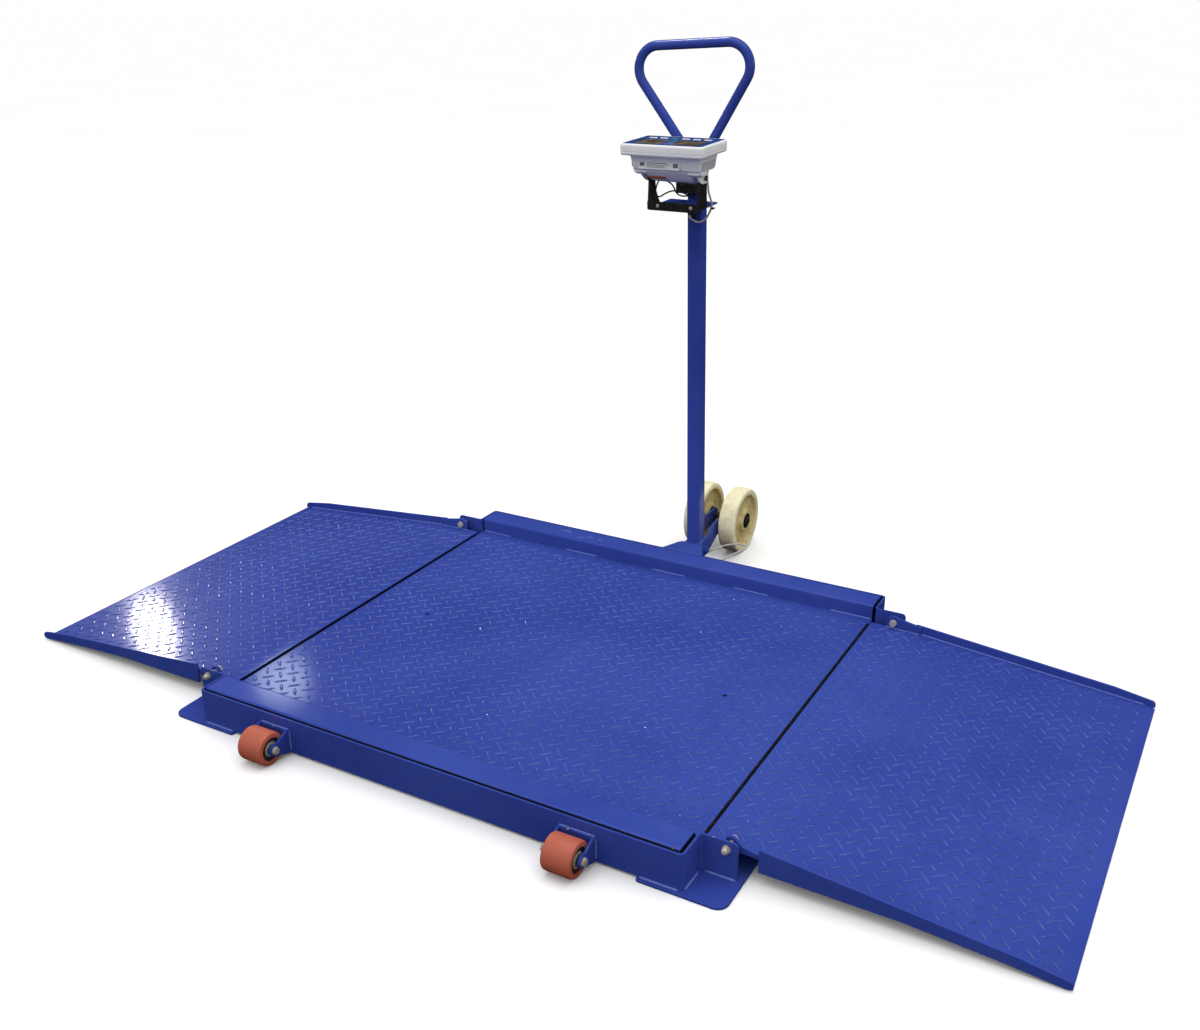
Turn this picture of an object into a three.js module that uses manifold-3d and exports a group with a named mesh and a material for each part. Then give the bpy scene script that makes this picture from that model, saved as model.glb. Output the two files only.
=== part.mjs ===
// Mobile drive-through pallet scale.
// Units are millimetres. X runs through the drive lane, from the left ramp (-X) to the right
// ramp (+X). Y runs from the front beam (-Y) to the lever behind the rear beam (+Y). Z is up,
// and Z = 0 is the floor. Every size below is measured from the middle of the weighing deck.
// The last lines move the whole scale, so that its origin is the middle of its bounding box.
import * as THREE from 'three';
import { mergeVertices } from 'three/addons/utils/BufferGeometryUtils.js';
import Module from 'manifold-3d';

const wasm = await Module();
wasm.setup();

// ---------------------------------------------------------------- driving dimensions
const GAP = 0.3;                 // clearance between pieces that touch

const FRAME = { halfX: 640, halfY: 628, beam: 80, plate: 5, top: 92.5, bend: 8 };
const CROSS = { inner: 540, outer: 732, halfY: 638, thick: 6, corner: 25 };
const DECK = { top: 55, thick: 5, halfX: 629.5, coverTop: 96, coverHalfX: 628, coverEdge: 620 };
const LUG = { reach: 719, corner: 10, hole: 6.4 };
const HINGE = { x: 695, z: 75, bolt: 5, frontEar: 13, rearEar: 19, flats: 16 };
const RAMP = { inner: 634.5, bend: 735, toe: 1346, top: 60, thick: 5, halfY: 522.7 };
const KERB = { start: 755, height: 23, thick: 6, earThick: 7 };
const ROLLER = { x: 404, y: -678, radius: 40, width: 68, bore: 5, coreRadius: 28 };
const FORK = { halfX: 43.5, plate: 6, top: 67, bottom: 8, endRadius: 14 };
const PIVOT = { x: 20, y: 727, z: 62, radius: 8 };
const LEAN = THREE.MathUtils.degToRad(2);      // the pole leans towards the deck at rest
const POLE = { half: 20, wall: 3, bottom: -26, top: 1105 };
const AXLE = { y: 911, z: 100, radius: 10, armRadius: 22, armThick: 6 };
const WHEEL = { radius: 100, width: 54, offset: 58.5, bore: 24 };
const HANDLE = { base: 1120, height: 309, slope: 0.675, bend: 58, tube: 12.5, skew: -3 };
const SHELF = { halfX: 70, front: -135.5, top: 1040, thick: 4 };
const BRACKET = { halfX: 77, arm: 8, y0: -142, y1: -100, knob: 1118, radius: 14 };
const CASE = { halfX: 116, front: -218, back: -62, rim: 1181, top: 1208 };
const PANEL = { halfX: 110.5, front: -212.5, back: -67.5, thick: 1.2 };
const KEY = { count: 6, pitch: 31, width: 22, depth: 8, y: -101, proud: 1, sunk: 0.9, pocket: 2.4 };

// ---------------------------------------------------------------- materials
function paint(colour, roughness, metalness) {
  return new THREE.MeshStandardMaterial({ color: colour, roughness, metalness });
}

const BLUE = paint(0x2438a8, 0.3, 0.1);
const PU = paint(0xb04a3c, 0.5, 0);
const NYLON = paint(0xe6dfc0, 0.45, 0);
const BLACK = paint(0x161616, 0.55, 0);
const ZINC = paint(0xb8b2a4, 0.35, 0.9);
const ALLOY = paint(0xc0c4c8, 0.4, 0.8);
const GREY_PLASTIC = paint(0xc9cbd3, 0.5, 0);
const PANEL_BLUE = paint(0x1f3f86, 0.35, 0);
const KEY_WHITE = paint(0xe4e0da, 0.5, 0);
const KEY_GREEN = paint(0x3f8f6a, 0.5, 0);
const CABLE_GREY = paint(0xb9bac0, 0.6, 0);

// ---------------------------------------------------------------- solids from three.js geometry
function toSolid(geometry) {
  const bare = geometry.clone();
  for (const name of Object.keys(bare.attributes)) {
    if (name !== 'position') bare.deleteAttribute(name);
  }
  const merged = mergeVertices(bare, 1e-4);
  return new wasm.Manifold(new wasm.Mesh({
    numProp: 3,
    vertProperties: new Float32Array(merged.attributes.position.array),
    triVerts: new Uint32Array(merged.index.array),
  }));
}

function toGeometry(solid) {
  const result = solid.getMesh();
  const geometry = new THREE.BufferGeometry();
  geometry.setAttribute('position', new THREE.BufferAttribute(result.vertProperties.slice(), 3));
  geometry.setIndex(new THREE.BufferAttribute(result.triVerts.slice(), 1));
  geometry.computeVertexNormals();
  return geometry;
}

function join(...solids) {
  return solids.reduce((sum, solid) => sum.add(solid));
}

function cut(solid, ...tools) {
  return tools.reduce((rest, tool) => rest.subtract(tool), solid);
}

// ---------------------------------------------------------------- shape helpers
function outline(points) {
  return new THREE.Shape(points.map(([u, v]) => new THREE.Vector2(u, v)));
}

// A point on an arc about (cu, cv), with its angle in degrees.
function polar(cu, cv, radius, degrees) {
  const angle = THREE.MathUtils.degToRad(degrees);
  return [cu + radius * Math.cos(angle), cv + radius * Math.sin(angle)];
}

function arc(cu, cv, radius, from, to, steps = 8) {
  return Array.from({ length: steps + 1 }, (_, i) => (
    polar(cu, cv, radius, from + ((to - from) * i) / steps)));
}

function rectangle(u0, u1, v0, v1, radius = 0) {
  if (radius === 0) return outline([[u0, v0], [u1, v0], [u1, v1], [u0, v1]]);
  return outline([
    ...arc(u0 + radius, v0 + radius, radius, 180, 270, 3),
    ...arc(u1 - radius, v0 + radius, radius, 270, 360, 3),
    ...arc(u1 - radius, v1 - radius, radius, 0, 90, 3),
    ...arc(u0 + radius, v1 - radius, radius, 90, 180, 3),
  ]);
}

function prism(shape, low, high, xAxis, yAxis, zAxis, start) {
  const geometry = new THREE.ExtrudeGeometry(shape, { depth: high - low, bevelEnabled: false });
  geometry.applyMatrix4(new THREE.Matrix4().makeBasis(xAxis, yAxis, zAxis));
  geometry.translate(...start);
  return toSolid(geometry);
}

const [UX, UY, UZ] = [[1, 0, 0], [0, 1, 0], [0, 0, 1]].map((v) => new THREE.Vector3(...v));

// Extrusions of a (Y, Z), an (X, Z) and an (X, Y) outline.
const alongX = (shape, low, high) => prism(shape, low, high, UY, UZ, UX, [low, 0, 0]);
const alongY = (shape, low, high) => (
  prism(shape, low, high, UX, UZ, UY.clone().negate(), [0, high, 0]));
const alongZ = (shape, low, high) => prism(shape, low, high, UX, UY, UZ, [0, 0, low]);

function box(x0, x1, y0, y1, z0, z1) {
  return alongZ(rectangle(x0, x1, y0, y1), z0, z1);
}

function disc(u, v, radius, segments = 24) {
  return outline(arc(u, v, radius, 0, 360 - 360 / segments, segments - 1));
}

function hexagon(u, v, acrossFlats) {
  return outline(arc(u, v, acrossFlats / Math.sqrt(3), 0, 300, 5));
}

// A plate bent along a plan path: the path is rounded at its corners and given a thickness.
function bentStrip(path, thickness, radius) {
  const left = [];
  const right = [];
  path.forEach((point, i) => {
    const before = path[Math.max(i - 1, 0)];
    const after = path[Math.min(i + 1, path.length - 1)];
    const inward = new THREE.Vector2(point[0] - before[0], point[1] - before[1]).normalize();
    const outward = new THREE.Vector2(after[0] - point[0], after[1] - point[1]).normalize();
    const isEnd = i === 0 || i === path.length - 1;
    const steps = isEnd ? 0 : 5;
    const direction = i === 0 ? outward : inward;
    const turn = isEnd ? 0 : Math.sign(inward.cross(outward));
    const corner = new THREE.Vector2(...point);
    const centre = corner.clone();
    if (!isEnd) {
      centre.addScaledVector(inward, -radius).addScaledVector(outward, radius);
    }
    for (let k = 0; k <= steps; k += 1) {
      const heading = direction.clone();
      const spot = corner.clone();
      if (!isEnd) {
        heading.rotateAround(new THREE.Vector2(), turn * (Math.PI / 2) * (k / steps));
        const sideways = new THREE.Vector2(-heading.y, heading.x).multiplyScalar(-turn * radius);
        spot.copy(centre).add(sideways);
      }
      const normal = new THREE.Vector2(-heading.y, heading.x).multiplyScalar(thickness / 2);
      left.push([spot.x + normal.x, spot.y + normal.y]);
      right.unshift([spot.x - normal.x, spot.y - normal.y]);
    }
  });
  return outline([...left, ...right]);
}

// A round tube along a curve, with closed flat ends.
function tubeAlong(curve, radius, steps, sides) {
  const geometry = new THREE.ExtrudeGeometry(disc(0, 0, radius, sides), {
    steps, bevelEnabled: false, extrudePath: curve });
  return toSolid(geometry);
}

// A solid of revolution about an axis parallel to X, from (radius, x) points.
function turnedAboutX(profile, y, z, segments) {
  const points = profile.map(([r, x]) => new THREE.Vector2(r, x));
  const geometry = new THREE.LatheGeometry(points, segments);
  geometry.applyMatrix4(new THREE.Matrix4().makeBasis(UY, UX, UZ.clone().negate()));
  geometry.translate(0, y, z);
  return toSolid(geometry);
}

// ---------------------------------------------------------------- the group and its meshes
const scale = new THREE.Group();
const lever = new THREE.Group();
lever.position.set(PIVOT.x, PIVOT.y, PIVOT.z);
lever.rotation.x = LEAN;
scale.add(lever);

function addPiece(name, solid, material, parent = scale) {
  const mesh = new THREE.Mesh(toGeometry(solid), material);
  mesh.name = name;
  parent.add(mesh);
  return mesh;
}

// ---------------------------------------------------------------- base frame
const CHANNEL_BOTTOM = CROSS.thick + GAP;
const INNER_Y = FRAME.halfY - FRAME.beam;

// Side channel: outer plate, end plates and hinge lugs bent from one strip.
function sideChannel(side) {
  const half = FRAME.plate / 2;
  const outerY = side * (FRAME.halfY - half);
  const lugY = side * (INNER_Y - half);
  const endX = FRAME.halfX - half;
  const path = [[-LUG.reach, lugY], [-endX, lugY], [-endX, outerY],
    [endX, outerY], [endX, lugY], [LUG.reach, lugY]];
  const plan = alongZ(bentStrip(path, FRAME.plate, FRAME.bend), CHANNEL_BOTTOM, FRAME.top);
  const r = LUG.corner;
  const elevation = outline([
    [-LUG.reach, CHANNEL_BOTTOM], [LUG.reach, CHANNEL_BOTTOM],
    ...arc(LUG.reach - r, FRAME.top - r, r, 0, 90, 5),
    ...arc(r - LUG.reach, FRAME.top - r, r, 90, 180, 5),
  ]);
  const trimmed = plan.intersect(alongY(elevation, -FRAME.halfY - 1, FRAME.halfY + 1));
  const holes = [-1, 1].map((end) => (
    alongY(disc(end * HINGE.x, HINGE.z, LUG.hole), lugY - 10, lugY + 10)));
  return cut(trimmed, ...holes);
}

// Cross plate: the flat foot that ties both channels together under a ramp hinge.
function crossPlate(end) {
  const r = CROSS.corner;
  const inner = 6;
  const points = [
    ...arc(CROSS.outer - r, r - CROSS.halfY, r, 270, 360, 6),
    ...arc(CROSS.outer - r, CROSS.halfY - r, r, 0, 90, 6),
    ...arc(CROSS.inner + inner, CROSS.halfY - inner, inner, 90, 180, 3),
    ...arc(CROSS.inner + inner, inner - CROSS.halfY, inner, 180, 270, 3),
  ];
  return alongZ(outline(points.map(([x, y]) => [end * x, y])), 0, CROSS.thick);
}

// Load cell: a bar with a foot on the cross plate and a head under the beam cover.
function loadCell(end, side) {
  const bar = { x0: 478, x1: 612, z0: 38, z1: 62, foot: 45, half: 15, y: 585 };
  const headTop = DECK.coverTop - 4 - GAP;
  const profile = [
    [bar.x1, CHANNEL_BOTTOM], [bar.x1, bar.z1], [bar.x0 + bar.foot, bar.z1],
    [bar.x0 + bar.foot, headTop], [bar.x0, headTop], [bar.x0, bar.z0],
    [bar.x1 - bar.foot, bar.z0], [bar.x1 - bar.foot, CHANNEL_BOTTOM],
  ];
  const shape = outline(profile.map(([x, z]) => [end * x, z]));
  return alongY(shape, side * bar.y - bar.half, side * bar.y + bar.half);
}

// Hinge bolt: head inside the kerb ear, shank through ear and lug, dome nut outside.
function hingeBolt(end, side) {
  const x = end * HINGE.x;
  const headFace = RAMP.halfY + 1 - KERB.earThick;
  const nutFace = INNER_Y + GAP;
  const nutEnd = nutFace + 8;
  const place = (shape, low, high) => (
    alongY(shape, Math.min(side * low, side * high), Math.max(side * low, side * high)));
  const domeRadii = [7.2, 6.2, 4];
  const domeStep = 2.6;
  const dome = domeRadii.map((radius, i) => place(
    disc(x, HINGE.z, radius, 12), nutEnd - 1, nutEnd + (i + 1) * domeStep));
  return join(
    place(hexagon(x, HINGE.z, HINGE.flats), headFace - 8, headFace),
    place(disc(x, HINGE.z, HINGE.bolt, 12), headFace - 1, nutEnd),
    place(hexagon(x, HINGE.z, HINGE.flats), nutFace, nutEnd),
    ...dome,
  );
}

// Roller fork: a back plate and two tapering arms with round ends.
function rollerFork(x) {
  const back = -FRAME.halfY - GAP;
  const armShape = outline([
    [back, FORK.bottom], [back, FORK.top],
    [back - FORK.plate, FORK.top],
    ...arc(ROLLER.y, ROLLER.radius, FORK.endRadius, 60, 240, 10),
    [back - FORK.plate, FORK.bottom],
  ]);
  const plate = box(x - FORK.halfX, x + FORK.halfX, back - FORK.plate, back,
    FORK.bottom, FORK.top);
  const arms = [x - FORK.halfX, x + FORK.halfX - FORK.plate].map((low) => (
    alongX(armShape, low, low + FORK.plate)));
  const hole = alongX(disc(ROLLER.y, ROLLER.radius, ROLLER.bore + GAP),
    x - FORK.halfX - 1, x + FORK.halfX + 1);
  return cut(join(plate, ...arms), hole);
}

// Bolt through a fork: hex head on the right, washer and nut on the left.
function rollerAxle(x) {
  const outside = FORK.halfX + GAP;
  const at = (shapeOf, size, low, high) => (
    alongX(shapeOf(ROLLER.y, ROLLER.radius, size), x + low, x + high));
  return join(
    at(disc, ROLLER.bore, -outside - 9, outside + 1),
    at(hexagon, 16, outside, outside + 6.5),
    at(hexagon, 16, -outside - 9, -outside - 1.5),
    at(disc, 9.5, -outside - 1.6, -outside),
  );
}

function rollerTyre(x) {
  const half = ROLLER.width / 2;
  const r = ROLLER.radius;
  const inner = ROLLER.coreRadius;
  return turnedAboutX([
    [inner, x - half], [r - 6, x - half], [r - 1.8, x - half + 1.8], [r, x - half + 6],
    [r, x + half - 6], [r - 1.8, x + half - 1.8], [r - 6, x + half], [inner, x + half],
    [inner, x - half],
  ], ROLLER.y, r, 28);
}

function rollerCore(x) {
  const half = ROLLER.width / 2 - 3;
  const bossEnd = half + 4;
  const boss = 11;
  const outer = ROLLER.coreRadius - GAP;
  const bore = ROLLER.bore + GAP;
  return turnedAboutX([
    [bore, x - bossEnd], [boss, x - bossEnd], [boss, x - half], [outer, x - half],
    [outer, x + half], [boss, x + half], [boss, x + bossEnd], [bore, x + bossEnd],
    [bore, x - bossEnd],
  ], ROLLER.y, ROLLER.radius, 20);
}

// Hitch bracket: a rounded tab over two cheeks that hold the lever's pivot pin.
const HITCH = { cheekIn: 27, cheekOut: 33, cheekEnd: 14, tabEnd: 705, tabLow: 84, tabHigh: 90 };

function hitchBracket() {
  const back = FRAME.halfY + GAP;
  const { x, y, z, radius } = PIVOT;
  const cheekShape = outline([
    [back, 30], [back + 30, 30], ...arc(y, z, HITCH.cheekEnd, 270, 420, 8),
    [y - 22, HITCH.tabLow + 1], [back, HITCH.tabLow + 1],
  ]);
  const cheeks = [-HITCH.cheekOut, HITCH.cheekIn].map((low) => (
    alongX(cheekShape, x + low, x + low + HITCH.cheekOut - HITCH.cheekIn)));
  const tab = alongZ(outline([
    [x - 66, back], [x + 66, back], ...arc(x + 14, HITCH.tabEnd - 30, 30, 20, 90, 6),
    ...arc(x - 14, HITCH.tabEnd - 30, 30, 90, 160, 6),
  ]), HITCH.tabLow, HITCH.tabHigh);
  const hole = alongX(disc(y, z, radius + GAP), x - 60, x + 60);
  return cut(join(tab, ...cheeks), hole);
}

function hitchPin() {
  const outside = HITCH.cheekOut + GAP;
  const at = (shape, low, high) => alongX(shape, PIVOT.x + low, PIVOT.x + high);
  return join(
    at(disc(PIVOT.y, PIVOT.z, PIVOT.radius - GAP, 20), -outside - 10, outside + 1),
    at(hexagon(PIVOT.y, PIVOT.z, 2 * PIVOT.radius), outside, outside + 8),
    at(hexagon(PIVOT.y, PIVOT.z, 2 * PIVOT.radius + 2), -outside - 8, -outside),
  );
}

const REAR_GLAND = { x: 112, z: 56, radius: 8, length: 20 };

function rearGland() {
  const back = FRAME.halfY + GAP;
  const { x, z, radius, length } = REAR_GLAND;
  return join(
    alongY(hexagon(x, z, 2 * radius + 2), back, back + 9),
    alongY(disc(x, z, radius - 1.5, 16), back + 8, back + length),
  );
}

for (const [side, name] of [[-1, 'front'], [1, 'rear']]) {
  addPiece(`${name}_side_channel`, sideChannel(side), BLUE);
}
for (const [end, name] of [[-1, 'left'], [1, 'right']]) {
  addPiece(`${name}_cross_plate`, crossPlate(end), BLUE);
  addPiece(`${name}_roller_fork`, rollerFork(end * ROLLER.x), BLUE);
  addPiece(`${name}_roller_axle`, rollerAxle(end * ROLLER.x), ZINC);
  addPiece(`${name}_roller_tyre`, rollerTyre(end * ROLLER.x), PU);
  addPiece(`${name}_roller_core`, rollerCore(end * ROLLER.x), BLACK);
  for (const [side, across] of [[-1, 'front'], [1, 'rear']]) {
    addPiece(`${name}_${across}_load_cell`, loadCell(end, side), ALLOY);
    addPiece(`${name}_${across}_hinge_bolt`, hingeBolt(end, side), ZINC);
  }
}
addPiece('hitch_bracket', hitchBracket(), BLUE);
addPiece('hitch_pin', hitchPin(), ZINC);
addPiece('rear_cable_gland', rearGland(), BLACK);
addPiece('junction_box', box(-160, -40, 568, FRAME.halfY - FRAME.plate - GAP, 12, 52), ALLOY);

// ---------------------------------------------------------------- weighing deck
const STIFFENER = { positions: [-560, -280, 0, 280, 560], half: 30, low: 20, endY: 520 };
const LOCK_HOLE = { x: 443, y: 4, radius: 6 };

function deckPlate() {
  const halfY = INNER_Y - GAP;
  const low = DECK.top - DECK.thick;
  const plate = box(-DECK.halfX, DECK.halfX, -halfY, halfY, low, DECK.top);
  const bars = STIFFENER.positions.map((x) => (
    box(x - STIFFENER.half, x + STIFFENER.half, -STIFFENER.endY, STIFFENER.endY,
      STIFFENER.low, low + 1)));
  const holes = [-1, 1].map((end) => (
    alongZ(disc(end * LOCK_HOLE.x, LOCK_HOLE.y, LOCK_HOLE.radius, 16), low - 2, DECK.top + 2)));
  return cut(join(plate, ...bars), ...holes);
}

// Beam cover: an inverted bent channel that sits inside the side channel's rim.
function beamCover(side) {
  const half = 2;
  const path = [
    [side * (INNER_Y + half), DECK.top - DECK.thick], [side * (INNER_Y + half), DECK.coverTop - half],
    [side * (DECK.coverEdge - half), DECK.coverTop - half], [side * (DECK.coverEdge - half), 76],
  ];
  return alongX(bentStrip(path, 2 * half, 6), -DECK.coverHalfX, DECK.coverHalfX);
}

addPiece('deck_plate', deckPlate(), BLUE);
addPiece('front_cover', beamCover(-1), BLUE);
addPiece('rear_cover', beamCover(1), BLUE);

// ---------------------------------------------------------------- ramps
const TOE = { top: 2.5, bottom: 0.3 };
const RIB = { positions: [-260, 0, 260], half: 3, start: 750, end: 1180, low: 14 };

// Height of the ramp's upper face at a distance x from the middle of the deck.
function rampTop(x) {
  if (x <= RAMP.bend) return RAMP.top;
  const run = (x - RAMP.bend) / (RAMP.toe - RAMP.bend);
  return RAMP.top + (TOE.bottom + RAMP.thick - RAMP.top) * run;
}

function mirrored(points, end) {
  return outline(points.map(([x, z]) => [end * x, z]));
}

function rampPlate(end) {
  const bevel = 12;
  const plate = mirrored([
    [RAMP.inner, RAMP.top - RAMP.thick], [RAMP.bend, RAMP.top - RAMP.thick],
    [RAMP.toe - 2, TOE.bottom], [RAMP.toe, TOE.bottom], [RAMP.toe, TOE.top],
    [RAMP.toe - bevel, rampTop(RAMP.toe - bevel)], [RAMP.bend, RAMP.top], [RAMP.inner, RAMP.top],
  ], end);
  const ribShape = mirrored([
    [RIB.start, RIB.low], [RIB.end - 60, RIB.low - 6], [RIB.end, rampTop(RIB.end) - 6],
    [RIB.end, rampTop(RIB.end) - RAMP.thick + 1], [RIB.start, rampTop(RIB.start) - RAMP.thick + 1],
  ], end);
  const ribs = RIB.positions.map((y) => alongY(ribShape, y - RIB.half, y + RIB.half));
  return join(alongY(plate, -RAMP.halfY, RAMP.halfY), ...ribs);
}

// Kerb: a tapering edge plate along the slope, with the hinge ear welded inside it.
function rampKerb(end, side) {
  const inside = RAMP.halfY + GAP;
  const toe = RAMP.toe;
  const edge = [
    [KERB.start, 28], [1040, 26], [1204, 15], [toe - 10, 3], [toe, 5],
    ...arc(toe - 10, 11, 10, 0, 75, 5),
    [1250, rampTop(1250) + KERB.height - 2], [KERB.start, rampTop(KERB.start) + KERB.height],
  ];
  const plate = alongY(mirrored(edge, end), Math.min(side * inside, side * (inside + KERB.thick)),
    Math.max(side * inside, side * (inside + KERB.thick)));
  const low = RAMP.top + GAP;
  const reach = side < 0 ? HINGE.frontEar : HINGE.rearEar;
  const earEnd = KERB.start + 14;
  const lowArm = [[716, 72], [746, 65], [earEnd, 67]];
  const highArm = [
    [742, rampTop(742) + KERB.height + 1], [earEnd, rampTop(earEnd) + KERB.height - 1],
  ];
  const ear = [
    [HINGE.x - reach, low], ...arc(HINGE.x, HINGE.z, reach, 180, 55, 10),
    ...(side < 0 ? lowArm : highArm), [earEnd, low],
  ];
  const earLow = inside + 1 - KERB.earThick;
  const earPlate = alongY(mirrored(ear, end), Math.min(side * earLow, side * (inside + 1)),
    Math.max(side * earLow, side * (inside + 1)));
  const hole = alongY(disc(end * HINGE.x, HINGE.z, HINGE.bolt + 1.2), side * inside - 20,
    side * inside + 20);
  return cut(join(plate, earPlate), hole);
}

for (const [end, name] of [[-1, 'left'], [1, 'right']]) {
  addPiece(`${name}_ramp_plate`, rampPlate(end), BLUE);
  addPiece(`${name}_ramp_front_kerb`, rampKerb(end, -1), BLUE);
  addPiece(`${name}_ramp_rear_kerb`, rampKerb(end, 1), BLUE);
}

// ---------------------------------------------------------------- lever, in its own tilted group
// In this group the pivot is the origin and the pole runs along Z.
const AXLE_LOCAL = {
  y: (AXLE.y - PIVOT.y) * Math.cos(LEAN) + (AXLE.z - PIVOT.z) * Math.sin(LEAN),
  z: (AXLE.z - PIVOT.z) * Math.cos(LEAN) - (AXLE.y - PIVOT.y) * Math.sin(LEAN),
};

const POLE_GLAND = { x: -3, z: 1000, radius: 8 };
const CABLE_EXIT = { y: 13.5, z: -11, radius: 4.2 };       // the foot cable's hole

function cableExit() {
  return alongX(disc(CABLE_EXIT.y, CABLE_EXIT.z, CABLE_EXIT.radius, 16), 0, 50);
}

function pole() {
  const { half, wall, bottom, top } = POLE;
  const outer = alongZ(rectangle(-half, half, -half, half, 3), bottom, top);
  const bore = alongZ(rectangle(wall - half, half - wall, wall - half, half - wall),
    bottom - 1, top + 1);
  const pinHole = alongX(disc(0, 0, PIVOT.radius + 1), -half - 1, half + 1);
  const glandHole = alongY(disc(POLE_GLAND.x, POLE_GLAND.z, 5, 16), -half - 1, 0);
  return cut(outer, bore, pinHole, glandHole, cableExit());
}

function axleArm(side) {
  const { y, z } = AXLE_LOCAL;
  const low = POLE.half + GAP;
  const shape = outline([
    [-18, -24], [-18, 26], [8, 29], [40, 34], [54, 44], [68, 52], [96, 55],
    ...arc(y, z, AXLE.armRadius, 95, -85, 12),
    [100, 8], [72, -4], [40, -18], [16, -25],
  ]);
  const x0 = side > 0 ? low : -low - AXLE.armThick;
  const plate = alongX(shape, x0, x0 + AXLE.armThick);
  const pinHole = alongX(disc(0, 0, PIVOT.radius + 1), -50, 50);
  const axleHole = alongX(disc(y, z, AXLE.radius + GAP), -50, 50);
  const bare = cut(plate, pinHole, axleHole);
  return side > 0 ? cut(bare, cableExit()) : bare;
}

function axle() {
  const { y, z } = AXLE_LOCAL;
  const end = WHEEL.offset + WHEEL.width / 2 + 1;
  const at = (radius, low, high) => alongX(disc(y, z, radius, 20), low, high);
  return join(
    at(AXLE.radius, -end - 5, end + 5),
    at(AXLE.radius + 5, end + GAP, end + 2.5),
    at(AXLE.radius + 5, -end - 2.5, -end - GAP),
  );
}

// Nylon wheel: rounded tread, recessed web faces and a full-width boss.
function nylonWheel(side) {
  const x = side * WHEEL.offset;
  const half = WHEEL.width / 2;
  const r = WHEEL.radius;
  const face = (s) => [
    [WHEEL.bore, x + s * half], [34, x + s * half], [37, x + s * (half - 13)],
    [74, x + s * (half - 13)], [78, x + s * (half - 2)], [r - 9, x + s * half],
    [r - 2.5, x + s * (half - 2.5)], [r, x + s * (half - 9)],
  ];
  const profile = [...face(-1), ...face(1).reverse()];
  profile.push(profile[0]);
  return turnedAboutX(profile, AXLE_LOCAL.y, AXLE_LOCAL.z, 32);
}

function wheelHub(side) {
  const x = side * WHEEL.offset;
  const half = WHEEL.width / 2;
  const outer = WHEEL.bore - GAP;
  const bore = AXLE.radius + GAP;
  return turnedAboutX([
    [bore, x - half - 0.5], [outer, x - half - 0.5], [outer, x + half + 0.5],
    [bore, x + half + 0.5], [bore, x - half - 0.5],
  ], AXLE_LOCAL.y, AXLE_LOCAL.z, 32);
}

// Half of the handle's centre line: up the sloping leg, round the bend and along the top bar.
class HandleCurve extends THREE.Curve {
  constructor() {
    super();
    const { height, slope, bend } = HANDLE;
    const lean = Math.atan(slope);
    const bendX = bend * (1 / Math.cos(lean) + slope) - slope * height;
    const bendZ = height - bend;
    const startZ = 14;
    const path = new THREE.CurvePath();
    const at = (x, z) => new THREE.Vector3(x, 0, z);
    const leave = at(bendX - bend * Math.cos(lean), bendZ - bend * Math.sin(lean));
    const leg = new THREE.LineCurve3(at(-slope * startZ, startZ), leave);
    path.add(leg);
    const turn = arc(bendX, bendZ, bend, 180 + THREE.MathUtils.radToDeg(lean), 90, 10);
    for (let i = 1; i < turn.length; i += 1) {
      path.add(new THREE.LineCurve3(at(...turn[i - 1]), at(...turn[i])));
    }
    path.add(new THREE.LineCurve3(at(...turn.at(-1)), at(0, height)));
    this.half = path;
  }

  getPoint(t) {
    const point = this.half.getPoint(t < 0.5 ? 2 * t : 2 - 2 * t);
    if (t > 0.5) point.x = -point.x;
    return point;
  }
}

function handle() {
  const loop = tubeAlong(new HandleCurve(), HANDLE.tube, 36, 10);
  const plug = alongZ(rectangle(-17, 17, -HANDLE.tube + 1, HANDLE.tube - 1), -14.7, 30);
  const trim = box(-60, 60, -40, 40, -60, -14.7);
  return cut(join(loop, plug), trim);
}

function shelfPlate() {
  const { halfX, front, top, thick } = SHELF;
  const back = -POLE.half - GAP;
  const plate = alongZ(rectangle(-halfX, halfX, front, back, 4), top - thick, top);
  const frontLip = box(-halfX + 4, halfX - 4, front, front + thick, top - 8, top - 1);
  const poleLip = box(-POLE.half, POLE.half, back - thick, back, top - 22, top - 1);
  return join(plate, frontLip, poleLip);
}

const ADAPTER = { left: -40, right: 22, depth: 30, low: 1061, high: 1092 };

function adapterBox() {
  const back = -POLE.half - GAP;
  const face = rectangle(ADAPTER.left, ADAPTER.right, ADAPTER.low, ADAPTER.high, 4);
  return alongY(face, back - ADAPTER.depth, back);
}

function poleGland() {
  const back = -POLE.half - GAP;
  return join(
    alongY(hexagon(POLE_GLAND.x, POLE_GLAND.z, 2 * POLE_GLAND.radius + 2), back - 7, back),
    alongY(disc(POLE_GLAND.x, POLE_GLAND.z, POLE_GLAND.radius - 1.5, 16), back - 16, back - 6),
  );
}

addPiece('pole', pole(), BLUE, lever);
const handleMesh = addPiece('handle', handle(), BLUE, lever);
handleMesh.position.z = HANDLE.base;
handleMesh.rotation.y = THREE.MathUtils.degToRad(HANDLE.skew);
for (const [side, name] of [[-1, 'left'], [1, 'right']]) {
  addPiece(`${name}_axle_arm`, axleArm(side), BLUE, lever);
  addPiece(`${name}_wheel`, nylonWheel(side), NYLON, lever);
  addPiece(`${name}_wheel_hub`, wheelHub(side), BLACK, lever);
}
addPiece('axle', axle(), ZINC, lever);
addPiece('shelf_plate', shelfPlate(), BLUE, lever);
addPiece('adapter_box', adapterBox(), BLACK, lever);
addPiece('pole_cable_gland', poleGland(), BLACK, lever);

// ---------------------------------------------------------------- indicator on its bracket
const BRACKET_Y = (BRACKET.y0 + BRACKET.y1) / 2;

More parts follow.
